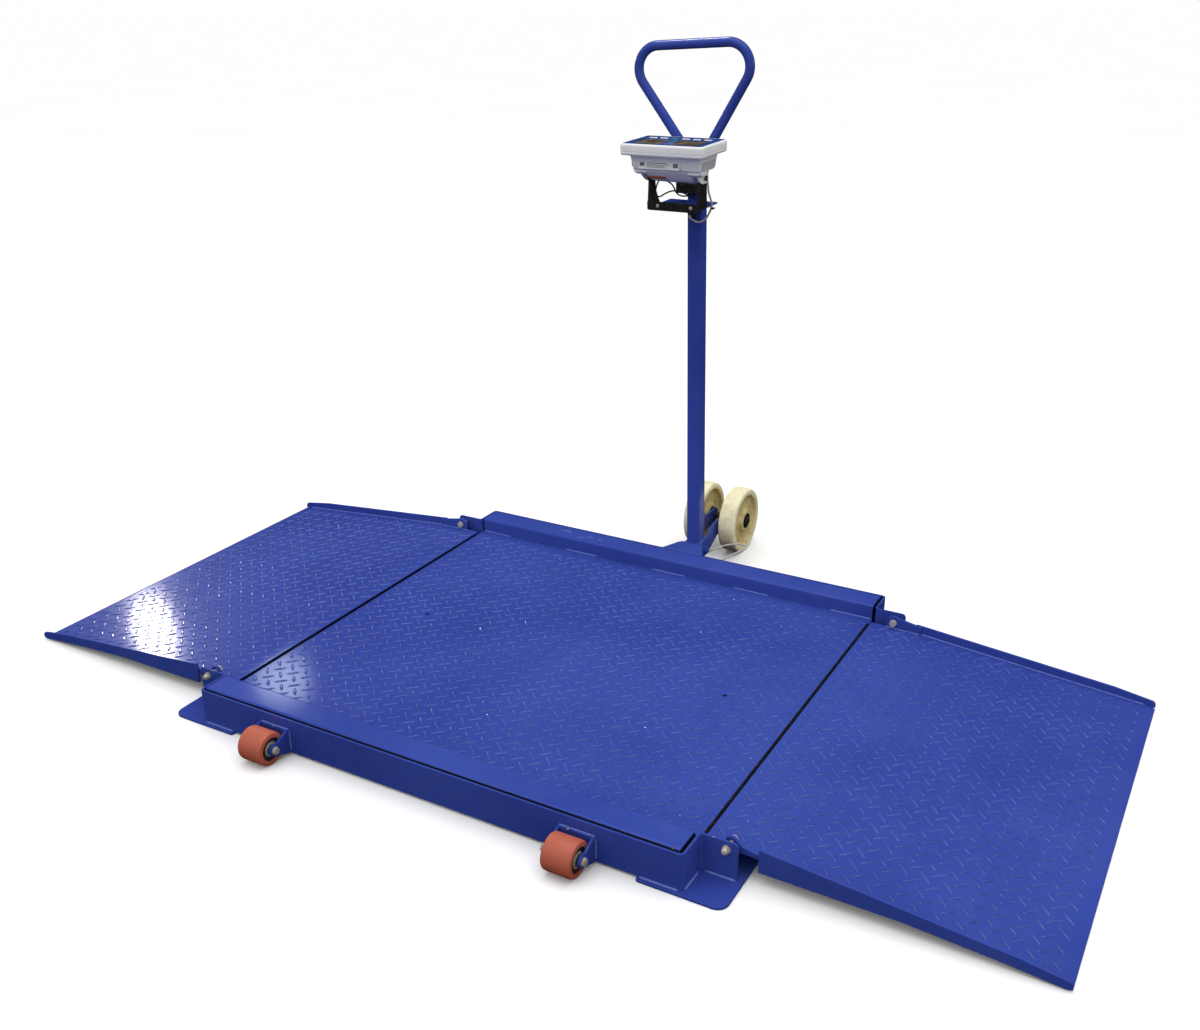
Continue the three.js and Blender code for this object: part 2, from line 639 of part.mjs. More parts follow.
function indicatorBracket() {
  const { halfX, arm, y0, y1, knob, radius } = BRACKET;
  const low = SHELF.top + GAP;
  const base = box(-halfX, halfX, y0, y1, low, low + 5);
  const flange = box(-halfX, halfX, y0, y0 + 6, SHELF.top - 9, low + 13);
  const armShape = outline([
    [y0, low], [y1, low], [y1, low + 20], ...arc(BRACKET_Y, knob, radius, 10, 170, 10),
    [y0, low + 30],
  ]);
  const arms = [-halfX, halfX - arm].map((x) => alongX(armShape, x, x + arm));
  const hole = alongX(disc(BRACKET_Y, knob, 4.3, 16), -halfX - 1, halfX + 1);
  return cut(join(base, flange, ...arms), hole);
}

// Outline of one key, or with a margin of the opening that it moves in.
function keyOutline(index, margin) {
  const x = (index - (KEY.count - 1) / 2) * KEY.pitch;
  const halfX = KEY.width / 2 + margin;
  const halfY = KEY.depth / 2 + margin;
  return rectangle(x - halfX, x + halfX, KEY.y - halfY, KEY.y + halfY, 2);
}

function keyPockets() {
  return Array.from({ length: KEY.count }, (_, i) => (
    alongZ(keyOutline(i, GAP), CASE.top - KEY.pocket, CASE.top + 1)));
}

function indicatorHousing() {
  const { halfX, front, back, rim, top } = CASE;
  const inner = BRACKET.halfX - BRACKET.arm - GAP;
  const pocketTop = BRACKET.knob + BRACKET.radius + 6;
  const slab = alongZ(rectangle(-halfX, halfX, front, back, 12), rim, top);
  const recess = alongZ(rectangle(-PANEL.halfX - GAP, PANEL.halfX + GAP,
    PANEL.front - GAP, PANEL.back + GAP, 7.8), top - PANEL.thick - GAP, top + 1);
  const y = BRACKET_Y;
  const body = outline([
    [y - 70, rim + 1], [y - 65, 1142], [y - 50, 1129], [y - 29, 1110], [y + 8, 1101],
    [y + 24, 1128], [y + 33, rim + 1],
  ]);
  const deep = alongX(body, -inner, inner);
  const shallow = alongX(body, -halfX + 17, halfX - 17)
    .intersect(box(-halfX, halfX, front, back, pocketTop, rim + 1));
  return cut(join(slab, deep, shallow), recess, ...keyPockets());
}

function indicatorPanel() {
  const sheet = alongZ(rectangle(-PANEL.halfX, PANEL.halfX, PANEL.front, PANEL.back, 7.5),
    CASE.top - PANEL.thick, CASE.top + 0.2);
  return cut(sheet, ...keyPockets());
}

function panelKey(index) {
  return alongZ(keyOutline(index, 0), CASE.top - KEY.sunk, CASE.top + KEY.proud);
}

// Star knob whose stud reaches through the bracket arm into the housing's side.
function clampKnob(side) {
  const lobes = 6;
  const star = Array.from({ length: 36 }, (_, i) => (
    polar(BRACKET_Y, BRACKET.knob, 7 + 0.7 * Math.cos((lobes * i * Math.PI) / 18), i * 10)));
  const arm = BRACKET.halfX;
  const place = (shape, low, high) => (
    alongX(shape, Math.min(side * low, side * high), Math.max(side * low, side * high)));
  const inner = arm - BRACKET.arm;
  return join(
    place(outline(star), arm + GAP, arm + 9),
    place(disc(BRACKET_Y, BRACKET.knob, 4, 16), inner, arm + 1),
  );
}

addPiece('indicator_bracket', indicatorBracket(), BLACK, lever);
addPiece('indicator_housing', indicatorHousing(), GREY_PLASTIC, lever);
addPiece('indicator_panel', indicatorPanel(), PANEL_BLUE, lever);
for (let i = 0; i < KEY.count; i += 1) {
  addPiece(`panel_key_${i + 1}`, panelKey(i), i === 2 ? KEY_GREEN : KEY_WHITE, lever);
}
addPiece('left_clamp_knob', clampKnob(-1), BLACK, lever);
addPiece('right_clamp_knob', clampKnob(1), BLACK, lever);

// ---------------------------------------------------------------- cables
// Routes are chosen by hand, in the object's own frame.
const CABLE_RADIUS = 2.75;
const LEAD_RADIUS = 2;
const FOOT_CABLE = [
  [34, 740.9, 51.4], [46, 741, 51.4], [56, 746, 53], [66, 758, 56.5], [78, 777, 59],
  [92, 796, 60.5], [106, 810, 60.5], [120, 820, 60], [132, 826, 58.5], [141, 827, 56.5],
  [146, 821, 55], [146, 809, 54], [141, 793, 53.5], [134, 772, 53], [127, 748, 53],
  [121, 722, 53.5], [117, 694, 54.5], [114, 670, 55.5], [112, 657, 56], [112, 648.8, 56],
];
const HEAD_CABLE = [
  [17, 654.7, 1061.4], [17.5, 650, 1060], [24, 644.5, 1056.5], [34, 640, 1053.5], [50, 634, 1051],
  [66.5, 629, 1056], [80.5, 624, 1068], [89, 620, 1081], [96, 616, 1094], [98.5, 612, 1107],
  [96, 608, 1120], [92.5, 604, 1137], [90, 606, 1151], [85, 609, 1165], [77, 608, 1176],
  [70, 602, 1183], [68, 592.5, 1186],
];
const UPPER_LEAD = [
  [-30, 581.5, 1163], [-30.5, 590, 1161.8], [-28.5, 600, 1158.5], [-26, 608, 1154],
  [-21.5, 620, 1146], [-19, 629, 1136], [-16.5, 633, 1126.5], [-11, 636.5, 1118.5],
  [-3, 641, 1114.5], [6, 646.5, 1113.6], [13, 651.5, 1115.5], [15, 653.2, 1119.4],
];
const LOWER_LEAD = [
  [-40, 583.5, 1167.6], [-44, 592, 1162], [-51, 596, 1150], [-56, 597, 1137], [-57.5, 597.5, 1126],
  [-54, 598.5, 1117], [-46, 600, 1115.5], [-37, 606, 1121], [-29, 614, 1126], [-21, 621, 1128.5],
  [-12, 627, 1128.5], [0, 632, 1125.5], [13, 635.2, 1120.5], [21, 640.5, 1114.6],
  [26, 646.5, 1113.6], [29, 651.5, 1115.5], [30, 653.2, 1119.4],
];

function cable(points, radius, steps) {
  const curve = new THREE.CatmullRomCurve3(points.map((p) => new THREE.Vector3(...p)),
    false, 'centripetal');
  return tubeAlong(curve, radius, steps, 8);
}

addPiece('foot_signal_cable', cable(FOOT_CABLE, CABLE_RADIUS, 28), CABLE_GREY);
addPiece('head_signal_cable', cable(HEAD_CABLE, CABLE_RADIUS, 24), CABLE_GREY);
addPiece('upper_black_lead', cable(UPPER_LEAD, LEAD_RADIUS, 14), BLACK);
addPiece('lower_black_lead', cable(LOWER_LEAD, LEAD_RADIUS, 20), BLACK);

// The origin moves to the middle of the footprint, between the rollers and the wheels.
const FRONT_END = ROLLER.y - ROLLER.radius;
const REAR_END = AXLE.y + WHEEL.radius;
scale.position.y = -(FRONT_END + REAR_END) / 2;

export default scale;
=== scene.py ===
import random
from math import atan, atan2, ceil, cos, floor, hypot, pi, radians, sin, sqrt, tan

import bmesh
import bpy
import numpy as np
from mathutils import Matrix, Vector


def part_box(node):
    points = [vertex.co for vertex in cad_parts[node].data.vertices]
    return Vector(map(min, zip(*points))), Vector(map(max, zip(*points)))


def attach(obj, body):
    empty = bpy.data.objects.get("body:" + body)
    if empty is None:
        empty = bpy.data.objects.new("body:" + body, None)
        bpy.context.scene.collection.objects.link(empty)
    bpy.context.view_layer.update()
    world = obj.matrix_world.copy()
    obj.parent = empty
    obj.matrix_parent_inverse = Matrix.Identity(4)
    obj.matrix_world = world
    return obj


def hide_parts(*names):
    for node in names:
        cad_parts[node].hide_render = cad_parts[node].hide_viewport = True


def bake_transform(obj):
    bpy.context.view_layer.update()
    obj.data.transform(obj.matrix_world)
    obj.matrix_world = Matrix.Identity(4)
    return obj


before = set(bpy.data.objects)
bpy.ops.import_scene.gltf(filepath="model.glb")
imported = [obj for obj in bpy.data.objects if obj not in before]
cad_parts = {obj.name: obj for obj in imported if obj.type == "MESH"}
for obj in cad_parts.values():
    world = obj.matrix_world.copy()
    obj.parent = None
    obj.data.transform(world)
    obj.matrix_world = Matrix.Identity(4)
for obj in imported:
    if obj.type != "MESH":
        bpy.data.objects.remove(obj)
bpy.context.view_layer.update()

MM = 0.001
LEAN = radians(2)                 # the pole leans towards the deck at rest
SIGNS = (-1, 1)
ENDS = (("left", -1), ("right", 1))    # the two ends of the scale and their signs along X


def middle(node):
    low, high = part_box(node)
    return (low + high) / 2


def about(axis, angle):
    return Matrix.Rotation(angle, 4, axis)


def at(point):
    """The place of a shape in millimetres with its origin at a point of the frame."""
    return Matrix.Translation(point) @ Matrix.Scale(MM, 4)


DECK_MIDDLE = Vector((*middle("deck_plate").xy, 0))
DECK = at(DECK_MIDDLE)
PIVOT = Vector((middle("pole").x, *middle("hitch_pin").yz))
LEVER = Matrix.Translation(PIVOT) @ about("X", LEAN) @ Matrix.Scale(MM, 4)


def full_turn(count):
    """Angles of a full turn in equal steps."""
    return [2 * pi * i / count for i in range(count)]


def new_object(name, data):
    obj = bpy.data.objects.new(name, data)
    bpy.context.scene.collection.objects.link(obj)
    return obj


def add_camera():
    """The camera stands in front of the right end and looks down over the deck."""
    pan, pitch, roll = 0.5207, 0.3998, -0.0113
    data = bpy.data.cameras.new("camera")
    data.sensor_width = 36
    data.lens = 37.213
    data.clip_end = 9000
    camera = new_object("camera", data)
    camera.matrix_world = (Matrix.Translation(DECK @ Vector((1467.5, -2375, 1615.9)))
                           @ about("Z", pan) @ about("X", pi / 2 - pitch)
                           @ about("Z", roll))
    bpy.context.scene.camera = camera


add_camera()


# ---- node helpers
class Look:
    """A material's node tree, with short calls for the nodes that the finishes use."""

    def __init__(self, name):
        self.material = bpy.data.materials.new(name)
        self.material.use_nodes = True
        self.tree = self.material.node_tree
        self.tree.nodes.clear()
        self.shader = self.node("BsdfPrincipled")
        self.node("OutputMaterial", {0: self.shader.outputs[0]})
        self.place = self.node("TexCoord").outputs["Object"]

    def node(self, kind, inputs=(), **settings):
        made = self.tree.nodes.new("ShaderNode" + kind)
        for name, value in settings.items():
            setattr(made, name, value)
        for key, value in dict(inputs).items():
            self.feed(value, made.inputs[key])
        return made

    def feed(self, value, socket):
        if isinstance(value, bpy.types.NodeSocket):
            self.tree.links.new(value, socket)
        else:
            socket.default_value = value

    def set(self, **values):
        for name, value in values.items():
            self.feed(value, self.shader.inputs[name.replace("_", " ")])

    def noise(self, scale, detail=3, roughness=0.5, stretch=None, distortion=0):
        place = self.place
        if stretch:
            place = self.node("Mapping", {"Scale": stretch, "Vector": place}).outputs["Vector"]
        return self.node("TexNoise", {"Scale": scale, "Detail": detail, "Roughness": roughness,
                                      "Distortion": distortion, "Vector": place}).outputs["Fac"]

    def cells(self, scale):
        return self.node("TexVoronoi", {"Scale": scale, "Vector": self.place}).outputs["Distance"]

    def span(self, value, low, high, start=0, end=1):
        """Values from start to end taken smoothly to low to high."""
        return self.node("MapRange", {"From Min": start, "From Max": end, "To Min": low, "To Max": high,
                                      "Value": value}, interpolation_type="SMOOTHSTEP").outputs["Result"]

    def spread(self, noise, *numbers):
        """A noise, taken through span() if numbers are given."""
        value = self.noise(*noise)
        return self.span(value, *numbers) if numbers else value

    def mix(self, factor, first, second):
        pair = [c if isinstance(c, bpy.types.NodeSocket) else (*c, 1) for c in (first, second)]
        return self.node("Mix", {"Factor": factor, 6: pair[0], 7: pair[1]}, data_type="RGBA").outputs[2]

    def math(self, operation, first, second=0):
        return self.node("Math", {0: first, 1: second}, operation=operation).outputs[0]

    def vector_math(self, operation, *inputs):
        return self.node("VectorMath", enumerate(inputs), operation=operation).outputs

    def radius_about_x(self, y, z):
        """Distance of the surface from an axis parallel to X, in metres."""
        shift = self.vector_math("SUBTRACT", self.place, (0, y, z))[0]
        flat = self.vector_math("MULTIPLY", shift, (0, 1, 1))[0]
        return self.vector_math("LENGTH", flat)["Value"]

    def bump(self, height, strength, distance, below=None):
        inputs = {"Strength": strength, "Distance": distance, "Height": height}
        if below is not None:
            inputs["Normal"] = below
        return self.node("Bump", inputs).outputs["Normal"]

    def grain(self, noise, strength, distance, below=None):
        return self.bump(self.noise(*noise), strength, distance, below)


# ---- finishes
def finish(name, mottle, first, second, gloss, grain=None, dirt=None, lines=None, **values):
    """Two tones mixed by a noise, with dirt over them, and noises for roughness, grain and lines."""
    look = Look(name)
    colour = look.mix(look.spread(*mottle), first, second)
    if dirt:
        patches, tone = dirt
        colour = look.mix(look.spread(*patches), colour, tone)
    look.set(Base_Color=colour, Roughness=look.spread(*gloss), **values)
    if grain:
        look.set(Normal=look.grain(*grain, look.grain(*lines) if lines else None))
    return look.material


def blue_paint():
    """Glossy enamel on steel: slow colour drift, orange peel, a little dust, rolled-plate waviness."""
    look = Look("blue_enamel")
    drift = look.mix(look.spread((2.2, 2), 0, 1, 0.3, 0.7), (0.027, 0.051, 0.29), (0.036, 0.065, 0.333))
    dusty = look.mix(look.spread((17, 4, 0.6), 0, 0.16, 0.45, 0.8), drift, (0.08, 0.1, 0.29))
    specks = look.span(look.cells(160), 0.35, 0, 0.02, 0.09)
    peel = look.grain((330, 2, 0.4), 0.16, 0.0005)
    look.set(Base_Color=look.mix(specks, dusty, (0.07, 0.09, 0.33)), IOR=1.5, Specular_IOR_Level=0.04,
             Normal=look.grain((26, 2, 0.5), 0.2, 0.0015, peel), Coat_Weight=0.5, Coat_Roughness=0.1,
             Roughness=look.spread((30, 4, 0.6), 0.32, 0.48, 0.3, 0.75))
    return look.material


def nylon(y, z):
    """Cast nylon wheel: cream tread, a darker ochre over the recessed web, turning lines and small dirt
    spots.
    """
    look = Look("cream_nylon")
    radius = look.radius_about_x(y, z)
    blotch = look.noise(34, 5, 0.65, distortion=0.6)
    tread = look.mix(look.spread((46, 4, 0.6), 0, 1, 0.35, 0.75), (0.87, 0.82, 0.56), (0.74, 0.67, 0.4))
    web = look.mix(look.span(blotch, 0, 1, 0.35, 0.68), (0.66, 0.56, 0.27), (0.46, 0.34, 0.12))
    body = look.mix(look.span(radius, 0, 1, 0.076, 0.086), web, tread)
    spots = look.span(look.cells(70), 0.6, 0, 0.03, 0.12)
    dirt = look.math("MULTIPLY", spots, look.span(blotch, 0, 1, 0.5, 0.62))
    rings = look.math("SINE", look.math("MULTIPLY", radius, 5200))
    look.set(Base_Color=look.mix(dirt, body, (0.22, 0.22, 0.12)), IOR=1.53,
             Normal=look.grain((120, 3), 0.2, 0.0006, look.bump(rings, 0.05, 0.0002)),
             Roughness=look.spread((50, 3), 0.3, 0.52), Subsurface_Weight=0.12,
             Subsurface_Radius=(0.006, 0.005, 0.003))
    return look.material


def cell_alloy():
    """Machined load cells and the cast junction box: fine stretched grain on bright alloy."""
    look = Look("machined_alloy")
    colour = look.mix(look.noise(90, 3), (0.62, 0.63, 0.65), (0.48, 0.49, 0.5))
    grain = look.noise(240, 3, 0.6, stretch=(0.06, 1, 1))
    look.set(Base_Color=colour, Metallic=0.9, Roughness=look.span(grain, 0.26, 0.5),
             Normal=look.bump(grain, 0.15, 0.0002))
    return look.material


def housing_plastic():
    """Indicator housing: pale grey ABS with a spark-eroded texture, faint dust and handling marks."""
    look = Look("pale_grey_abs")
    base = look.mix(look.noise(14, 3), (0.76, 0.76, 0.78), (0.82, 0.82, 0.83))
    dust = look.mix(look.spread((48, 5, 0.65), 0, 0.35, 0.55, 0.85), base, (0.44, 0.43, 0.44))
    texture = look.bump(look.cells(1400), 0.16, 0.00012)
    look.set(Base_Color=dust, Normal=look.grain((500, 2), 0.12, 0.0002, texture), IOR=1.5,
             Roughness=look.spread((40, 3), 0.32, 0.5))
    return look.material


def black_plastic(name, base, roughness, grain, gloss=0.5):
    return finish(name, ((60, 4, 0.6), 0, 1, 0.45, 0.8), (base,) * 3, (base * 3, base * 3, base * 3.1),
                  ((45, 3), *roughness), ((grain, 2), 0.25, 0.0002), IOR=1.5, Specular_IOR_Level=gloss)


def film(name, colour, darker, roughness=0.28):
    """Printed polyester film with a fine surface texture."""
    return finish(name, ((55, 4, 0.6), 0, 1, 0.35, 0.8), colour, darker,
                  ((70, 3), roughness, roughness + 0.16), ((1100, 2), 0.1, 0.00012), IOR=1.5)


def cable_jacket(name, pale, dark):
    """Soft vinyl with dirt in patches along it."""
    return finish(name, ((75, 4, 0.65), 0, 1, 0.42, 0.75), pale, dark, ((60, 3), 0.42, 0.62),
                  ((900, 2), 0.2, 0.0002))


# Each finish is a material and the name of a slot, which the script reads but doesn't use.
WHEEL_CENTRE = middle("left_wheel")
PAINT = blue_paint(), "blue_paint"
# The enamel on the raised lugs, a shade lighter than the plates: painted highlight on the lugs, with some
# polish from shoes and wheels.
LUG_PAINT_WITH_HIGHLIGHT = finish("blue_enamel_on_lugs_painted_highlight", ((9, 4, 0.6), 0, 1, 0.35, 0.7), (0.034, 0.058, 0.3),
                     (0.05, 0.086, 0.38), ((60, 3), 0.2, 0.36), ((300, 2), 0.25, 0.0004),
                     Coat_Weight=0.9, Coat_Roughness=0.07), "blue_paint"
# The same enamel over a rough weld bead, mottled lighter than the plates: painted highlight on the beads.
WELD = finish("blue_enamel_on_weld_painted_highlight", ((90, 3),), (0.06, 0.1, 0.42), (0.16, 0.23, 0.62),
              ((120, 3), 0.18, 0.38), ((420, 3, 0.6), 0.5, 0.0012), Coat_Weight=0.4,
              Coat_Roughness=0.08), "blue_paint"
PRIMER = finish("bare_primer", ((600, 3),), (0.42, 0.33, 0.1), (0.26, 0.2, 0.09),
                ((500, 2), 0.55, 0.8), ((900, 2), 0.4, 0.0003)), "blue_paint"
SCUFF = finish("pale_scuff", ((140, 3),), (0.16, 0.17, 0.42), (0.3, 0.25, 0.4),
               ((300, 2), 0.45, 0.7)), "blue_paint"
# Cast tyre: warm mottling, dust worked into it, fine scratches round the tread.
TYRE = finish("terracotta_polyurethane", ((24, 4, 0.6),), (0.4, 0.085, 0.048), (0.5, 0.125, 0.072),
              ((40, 4), 0.36, 0.58), ((700, 2), 0.2, 0.0002),
              dirt=(((70, 5, 0.7), 0, 0.45, 0.5, 0.85), (0.3, 0.12, 0.085)),
              lines=((60, 4, 0.6, (14, 1, 1)), 0.25, 0.0006), IOR=1.48, Subsurface_Weight=0.06,
              Subsurface_Radius=(0.004, 0.001, 0.0006)), "polyurethane"
NYLON = nylon(WHEEL_CENTRE.y, WHEEL_CENTRE.z), "nylon"
BLACK = black_plastic("moulded_black", 0.012, (0.34, 0.55), 900), "black_plastic"
BORDER_BLACK = BLACK[0], "panel_film"
# Matt black rubber for the wheel seals and lead reliefs, also used for the strips of painted shade in the
# gaps.
RUBBER_AND_GAP_SHADE = black_plastic("matt_black_rubber_and_gap_shade", 0.005, (0.6, 0.8), 500, 0.15), "black_plastic"
GLOSSY_BLACK = black_plastic("glossy_black_moulding", 0.022, (0.16, 0.3), 500, 0.7), "black_plastic"
OILED = black_plastic("oiled_black_steel", 0.016, (0.22, 0.42), 600, 0.8), "black_plastic"
OILED_AXLE = OILED[0], "zinc_steel"
CORE = black_plastic("roller_core_black", 0.02, (0.38, 0.6), 400), "roller_core"
# Plated fasteners: warm passivation tint, brushed grain and dull spots.
ZINC = finish("plated_steel", ((180, 3), 0, 1, 0.35, 0.7), (0.74, 0.72, 0.66), (0.66, 0.57, 0.4),
              ((300, 3), 0.18, 0.4), ((800, 3), 0.2, 0.0002),
              dirt=(((420, 4, 0.7), 0, 0.75, 0.52, 0.74), (0.14, 0.12, 0.09)), Metallic=0.55), "zinc_steel"
ALLOY = cell_alloy(), "load_cell_alloy"
ABS = housing_plastic(), "housing_plastic"
FILM = film("panel_blue", (0.012, 0.045, 0.2), (0.018, 0.065, 0.27)), "panel_film"
STRIPE = film("panel_stripe", (0.06, 0.17, 0.45), (0.04, 0.12, 0.36)), "panel_film"
KEY_WHITE = film("key_white", (0.86, 0.8, 0.79), (0.74, 0.7, 0.69), 0.35), "key_white"
KEY_GREEN = film("key_green", (0.05, 0.3, 0.16), (0.04, 0.22, 0.12), 0.35), "key_green"
# Darker grey for the sheets on the housing's sides: painted shade standing in for a recess.
SHADE = film("grey_painted_recess_shade", (0.4, 0.4, 0.42), (0.46, 0.46, 0.48), 0.42), "housing_plastic"
LABEL = film("plain_label", (0.78, 0.79, 0.82), (0.7, 0.71, 0.74), 0.4), "housing_plastic"
LABEL_INK = film("label_print", (0.1, 0.1, 0.12), (0.22, 0.22, 0.25), 0.45), "housing_plastic"
AMBER = film("amber_moulding", (0.55, 0.14, 0.02), (0.36, 0.08, 0.012), 0.32), "housing_plastic"
# Switched-off liquid crystal behind a scratched window: brown, with a paler cast across it.
GLASS = finish("display_window", ((30, 3, 0.6), 0, 1, 0.4, 0.7), (0.11, 0.085, 0.055), (0.34, 0.27, 0.19),
               ((160, 3), 0.16, 0.34), Coat_Weight=0.8, Coat_Roughness=0.05, IOR=1.45), "panel_film"
GREY_JACKET = cable_jacket("grey_jacket", (0.5, 0.48, 0.46), (0.27, 0.26, 0.23)), "grey_cable"
BLACK_JACKET = cable_jacket("black_jacket", (0.012, 0.012, 0.013), (0.035, 0.034, 0.034)), "black_cable"


# ---- shape helpers
# A shape is a pair: an array of points and a list of faces.
X_TO_Y = about("Z", pi / 2)
X_TO_Z = about("Y", -pi / 2)


def merged(*shapes):
    points, faces, start = [], [], 0
    for part_points, part_faces in shapes:
        points.append(part_points)
        faces.extend([tuple(i + start for i in face) for face in part_faces])
        start += len(part_points)
    return np.concatenate(points), faces


def moved(shape, x=0, y=0, z=0):
    return shape[0] + np.array((x, y, z), float), shape[1]


def turned(shape, matrix):
    return shape[0] @ np.array(matrix.to_3x3()).T, shape[1]


def facing(shape, side):
    """A shape along X turned about Z to face the left (-1) or the right (1)."""
    return turned(shape, about("Z", 0 if side > 0 else pi))


def loft(rings, caps=True, looped=False):
    """A skin over rings that have the same number of points, in order round each ring."""
    count, sides = len(rings), len(rings[0])
    faces = []
    for i in range(count if looped else count - 1):
        a, b = i * sides, ((i + 1) % count) * sides
        for j in range(sides):
            k = (j + 1) % sides
            faces.append((a + j, a + k, b + k, b + j))
    if caps and not looped:
        faces.append(tuple(reversed(range(sides))))
        faces.append(tuple(range((count - 1) * sides, count * sides)))
    return np.concatenate([np.array(ring, float) for ring in rings]), faces


def lathe(profile, segments, closed=True):
    """A solid of revolution about X from (radius, x) points: closed round a bore, or capped at its ends."""
    count = len(profile)
    rings = [[(x, r * cos(angle), r * sin(angle)) for r, x in profile] for angle in full_turn(segments)]
    points, faces = loft(rings, looped=True)
    if not closed:
        faces = [face for face in faces if face[0] % count != count - 1]
        faces.append(tuple(i * count for i in range(segments)))
        faces.append(tuple(reversed([(i + 1) * count - 1 for i in range(segments)])))
    return points, faces


def rounded(corners, steps=4, closed=True):
    """An outline of (u, v, radius) corners, each rounded by a short curve."""
    points = []
    count = len(corners)
    for i, (u, v, radius) in enumerate(corners):
        corner = Vector((u, v))
        if radius == 0 or (not closed and i in (0, count - 1)):
            points.append((u, v))
            continue
        before = Vector(corners[i - 1][:2]) - corner
        after = Vector(corners[(i + 1) % count][:2]) - corner
        start = corner + before.normalized() * min(radius, before.length * 0.49)
        end = corner + after.normalized() * min(radius, after.length * 0.49)
        for k in range(steps + 1):
            t = k / steps
            points.append(tuple((1 - t) ** 2 * start + 2 * t * (1 - t) * corner + t * t * end))
    return points


def spin(corners, steps, segments, closed=True):
    """A lathe-turned part from (radius, x, rounding) corners."""
    return lathe(rounded(corners, steps, closed), segments, closed)


def washer(bore, rim, start, end, edges, steps=2, segments=40):
    corners = zip((bore, rim, rim, bore), (start, start, end, end), edges)
    return spin(list(corners), steps, segments)


def both_faces(half, steps, segments, closed=True):
    """A turned part on the right face of a wheel and its mirror image on the left face."""
    return [spin([(r, side * x, edge) for r, x, edge in half], steps, segments, closed) for side in SIGNS]


def mirrored(half):
    """A whole profile from its right half, which is listed from the bore outwards."""
    return [(r, -x, edge) for r, x, edge in half] + half[::-1]


def rectangle(u0, u1, v0, v1, radius=0, steps=5):
    return rounded([(u0, v0, radius), (u1, v0, radius), (u1, v1, radius), (u0, v1, radius)], steps)


def hexagon(flats):
    radius = flats / sqrt(3)
    return [(radius * cos(angle), radius * sin(angle)) for angle in full_turn(6)]


def lifted(outline, level, axis):
    """A plane outline set at a level along one axis: (Y, Z), (X, Z) or (X, Y) for X, Y or Z."""
    if axis == "X":
        return [(level, u, v) for u, v in outline]
    if axis == "Y":
        return [(u, level, v) for u, v in outline]
    return [(u, v, level) for u, v in outline]


def prism(outline, low, high, axis):
    return loft([lifted(outline, low, axis), lifted(outline, high, axis)])


def block(xs, ys, zs):
    return prism(rectangle(*sorted(xs), *sorted(ys)), *zs, "Z")


def nut(flats, low, high):
    return prism(hexagon(flats), low, high, "X")


def tube(path, radius, sides=16):
    """A closed tube that follows the points of a path. Its radius may change from point to point."""
    points = [Vector(p) for p in path]
    radii = [radius] * len(points) if isinstance(radius, (int, float)) else radius
    tangents = [(b - a).normalized() for a, b in zip(points[:1] + points, points[1:] + points[-1:])]
    side = tangents[0].orthogonal().normalized()
    rings = []
    for point, tangent, size in zip(points, tangents, radii):
        side = (side - tangent * side.dot(tangent)).normalized()
        other = tangent.cross(side)
        rings.append([point + size * (cos(angle) * side + sin(angle) * other) for angle in full_turn(sides)])
    return loft(rings)


def add_mesh(name, shape, place):
    matrix = np.array(place)
    points = shape[0] @ matrix[:3, :3].T + matrix[:3, 3]
    mesh = bpy.data.meshes.new(name)
    mesh.from_pydata(points.tolist(), [], shape[1])
    work = bmesh.new()
    work.from_mesh(mesh)
    bmesh.ops.recalc_face_normals(work, faces=work.faces)
    work.to_mesh(mesh)
    work.free()
    mesh.polygons.foreach_set("use_smooth", [True] * len(mesh.polygons))
    return new_object(name, mesh)


def soften(obj, width, segments=2):
    """Rounds the sharp edges by a width in millimetres and evens out the shading of the flat faces."""
    if width:
        bevel = obj.modifiers.new("edges", "BEVEL")
        bevel.width = width * MM
        bevel.segments = segments
        bevel.limit_method = "ANGLE"
        bevel.angle_limit = radians(30)
        bevel.use_clamp_overlap = True
    obj.modifiers.new("shading", "WEIGHTED_NORMAL").weight = 80


def piece(name, shape, place, body, look, replaces=(), bevel=0):
    material, slot = look
    obj = add_mesh(name, shape, place)
    obj.data.materials.append(material)
    soften(obj, bevel)
    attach(obj, body)
    if replaces:
        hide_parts(*replaces)


# ---- cables, in millimetres from the deck's middle
FOOT_CABLE = [
    (34, 740.9, 51.4), (46, 741, 51.4), (56, 746, 53), (66, 758, 56.5), (78, 777, 59), (92, 796, 60.5),
    (106, 810, 60.5), (120, 820, 60), (132, 826, 58.5), (141, 827, 56.5), (146, 821, 55), (146, 809, 54),
    (141, 793, 53.5), (134, 772, 53), (127, 748, 53), (121, 722, 53.5), (117, 694, 54.5),
    (114, 670, 55.5), (112, 657, 56), (112, 648.8, 56),
]
TIE_PLACE = (96, 616, 1094)
HEAD_CABLE = [
    (17, 654.7, 1061.4), (17.5, 650, 1060), (24, 644.5, 1056.5), (34, 640, 1053.5), (50, 634, 1051),
    (66.5, 629, 1056), (80.5, 624, 1068), (89, 620, 1081), TIE_PLACE, (98.5, 612, 1107), (96, 608, 1120),
    (92.5, 604, 1137), (90, 606, 1151), (85, 609, 1165), (77, 608, 1176), (70, 602, 1183),
    (68, 592.5, 1186),
]
UPPER_LEAD = [
    (-30, 581.5, 1163), (-30.5, 590, 1161.8), (-28.5, 600, 1158.5), (-26, 608, 1154), (-21.5, 620, 1146),
    (-19, 629, 1136), (-16.5, 633, 1126.5), (-11, 636.5, 1118.5), (-3, 641, 1114.5), (6, 646.5, 1113.6),
    (13, 651.5, 1115.5), (15, 653.2, 1119.4),
]
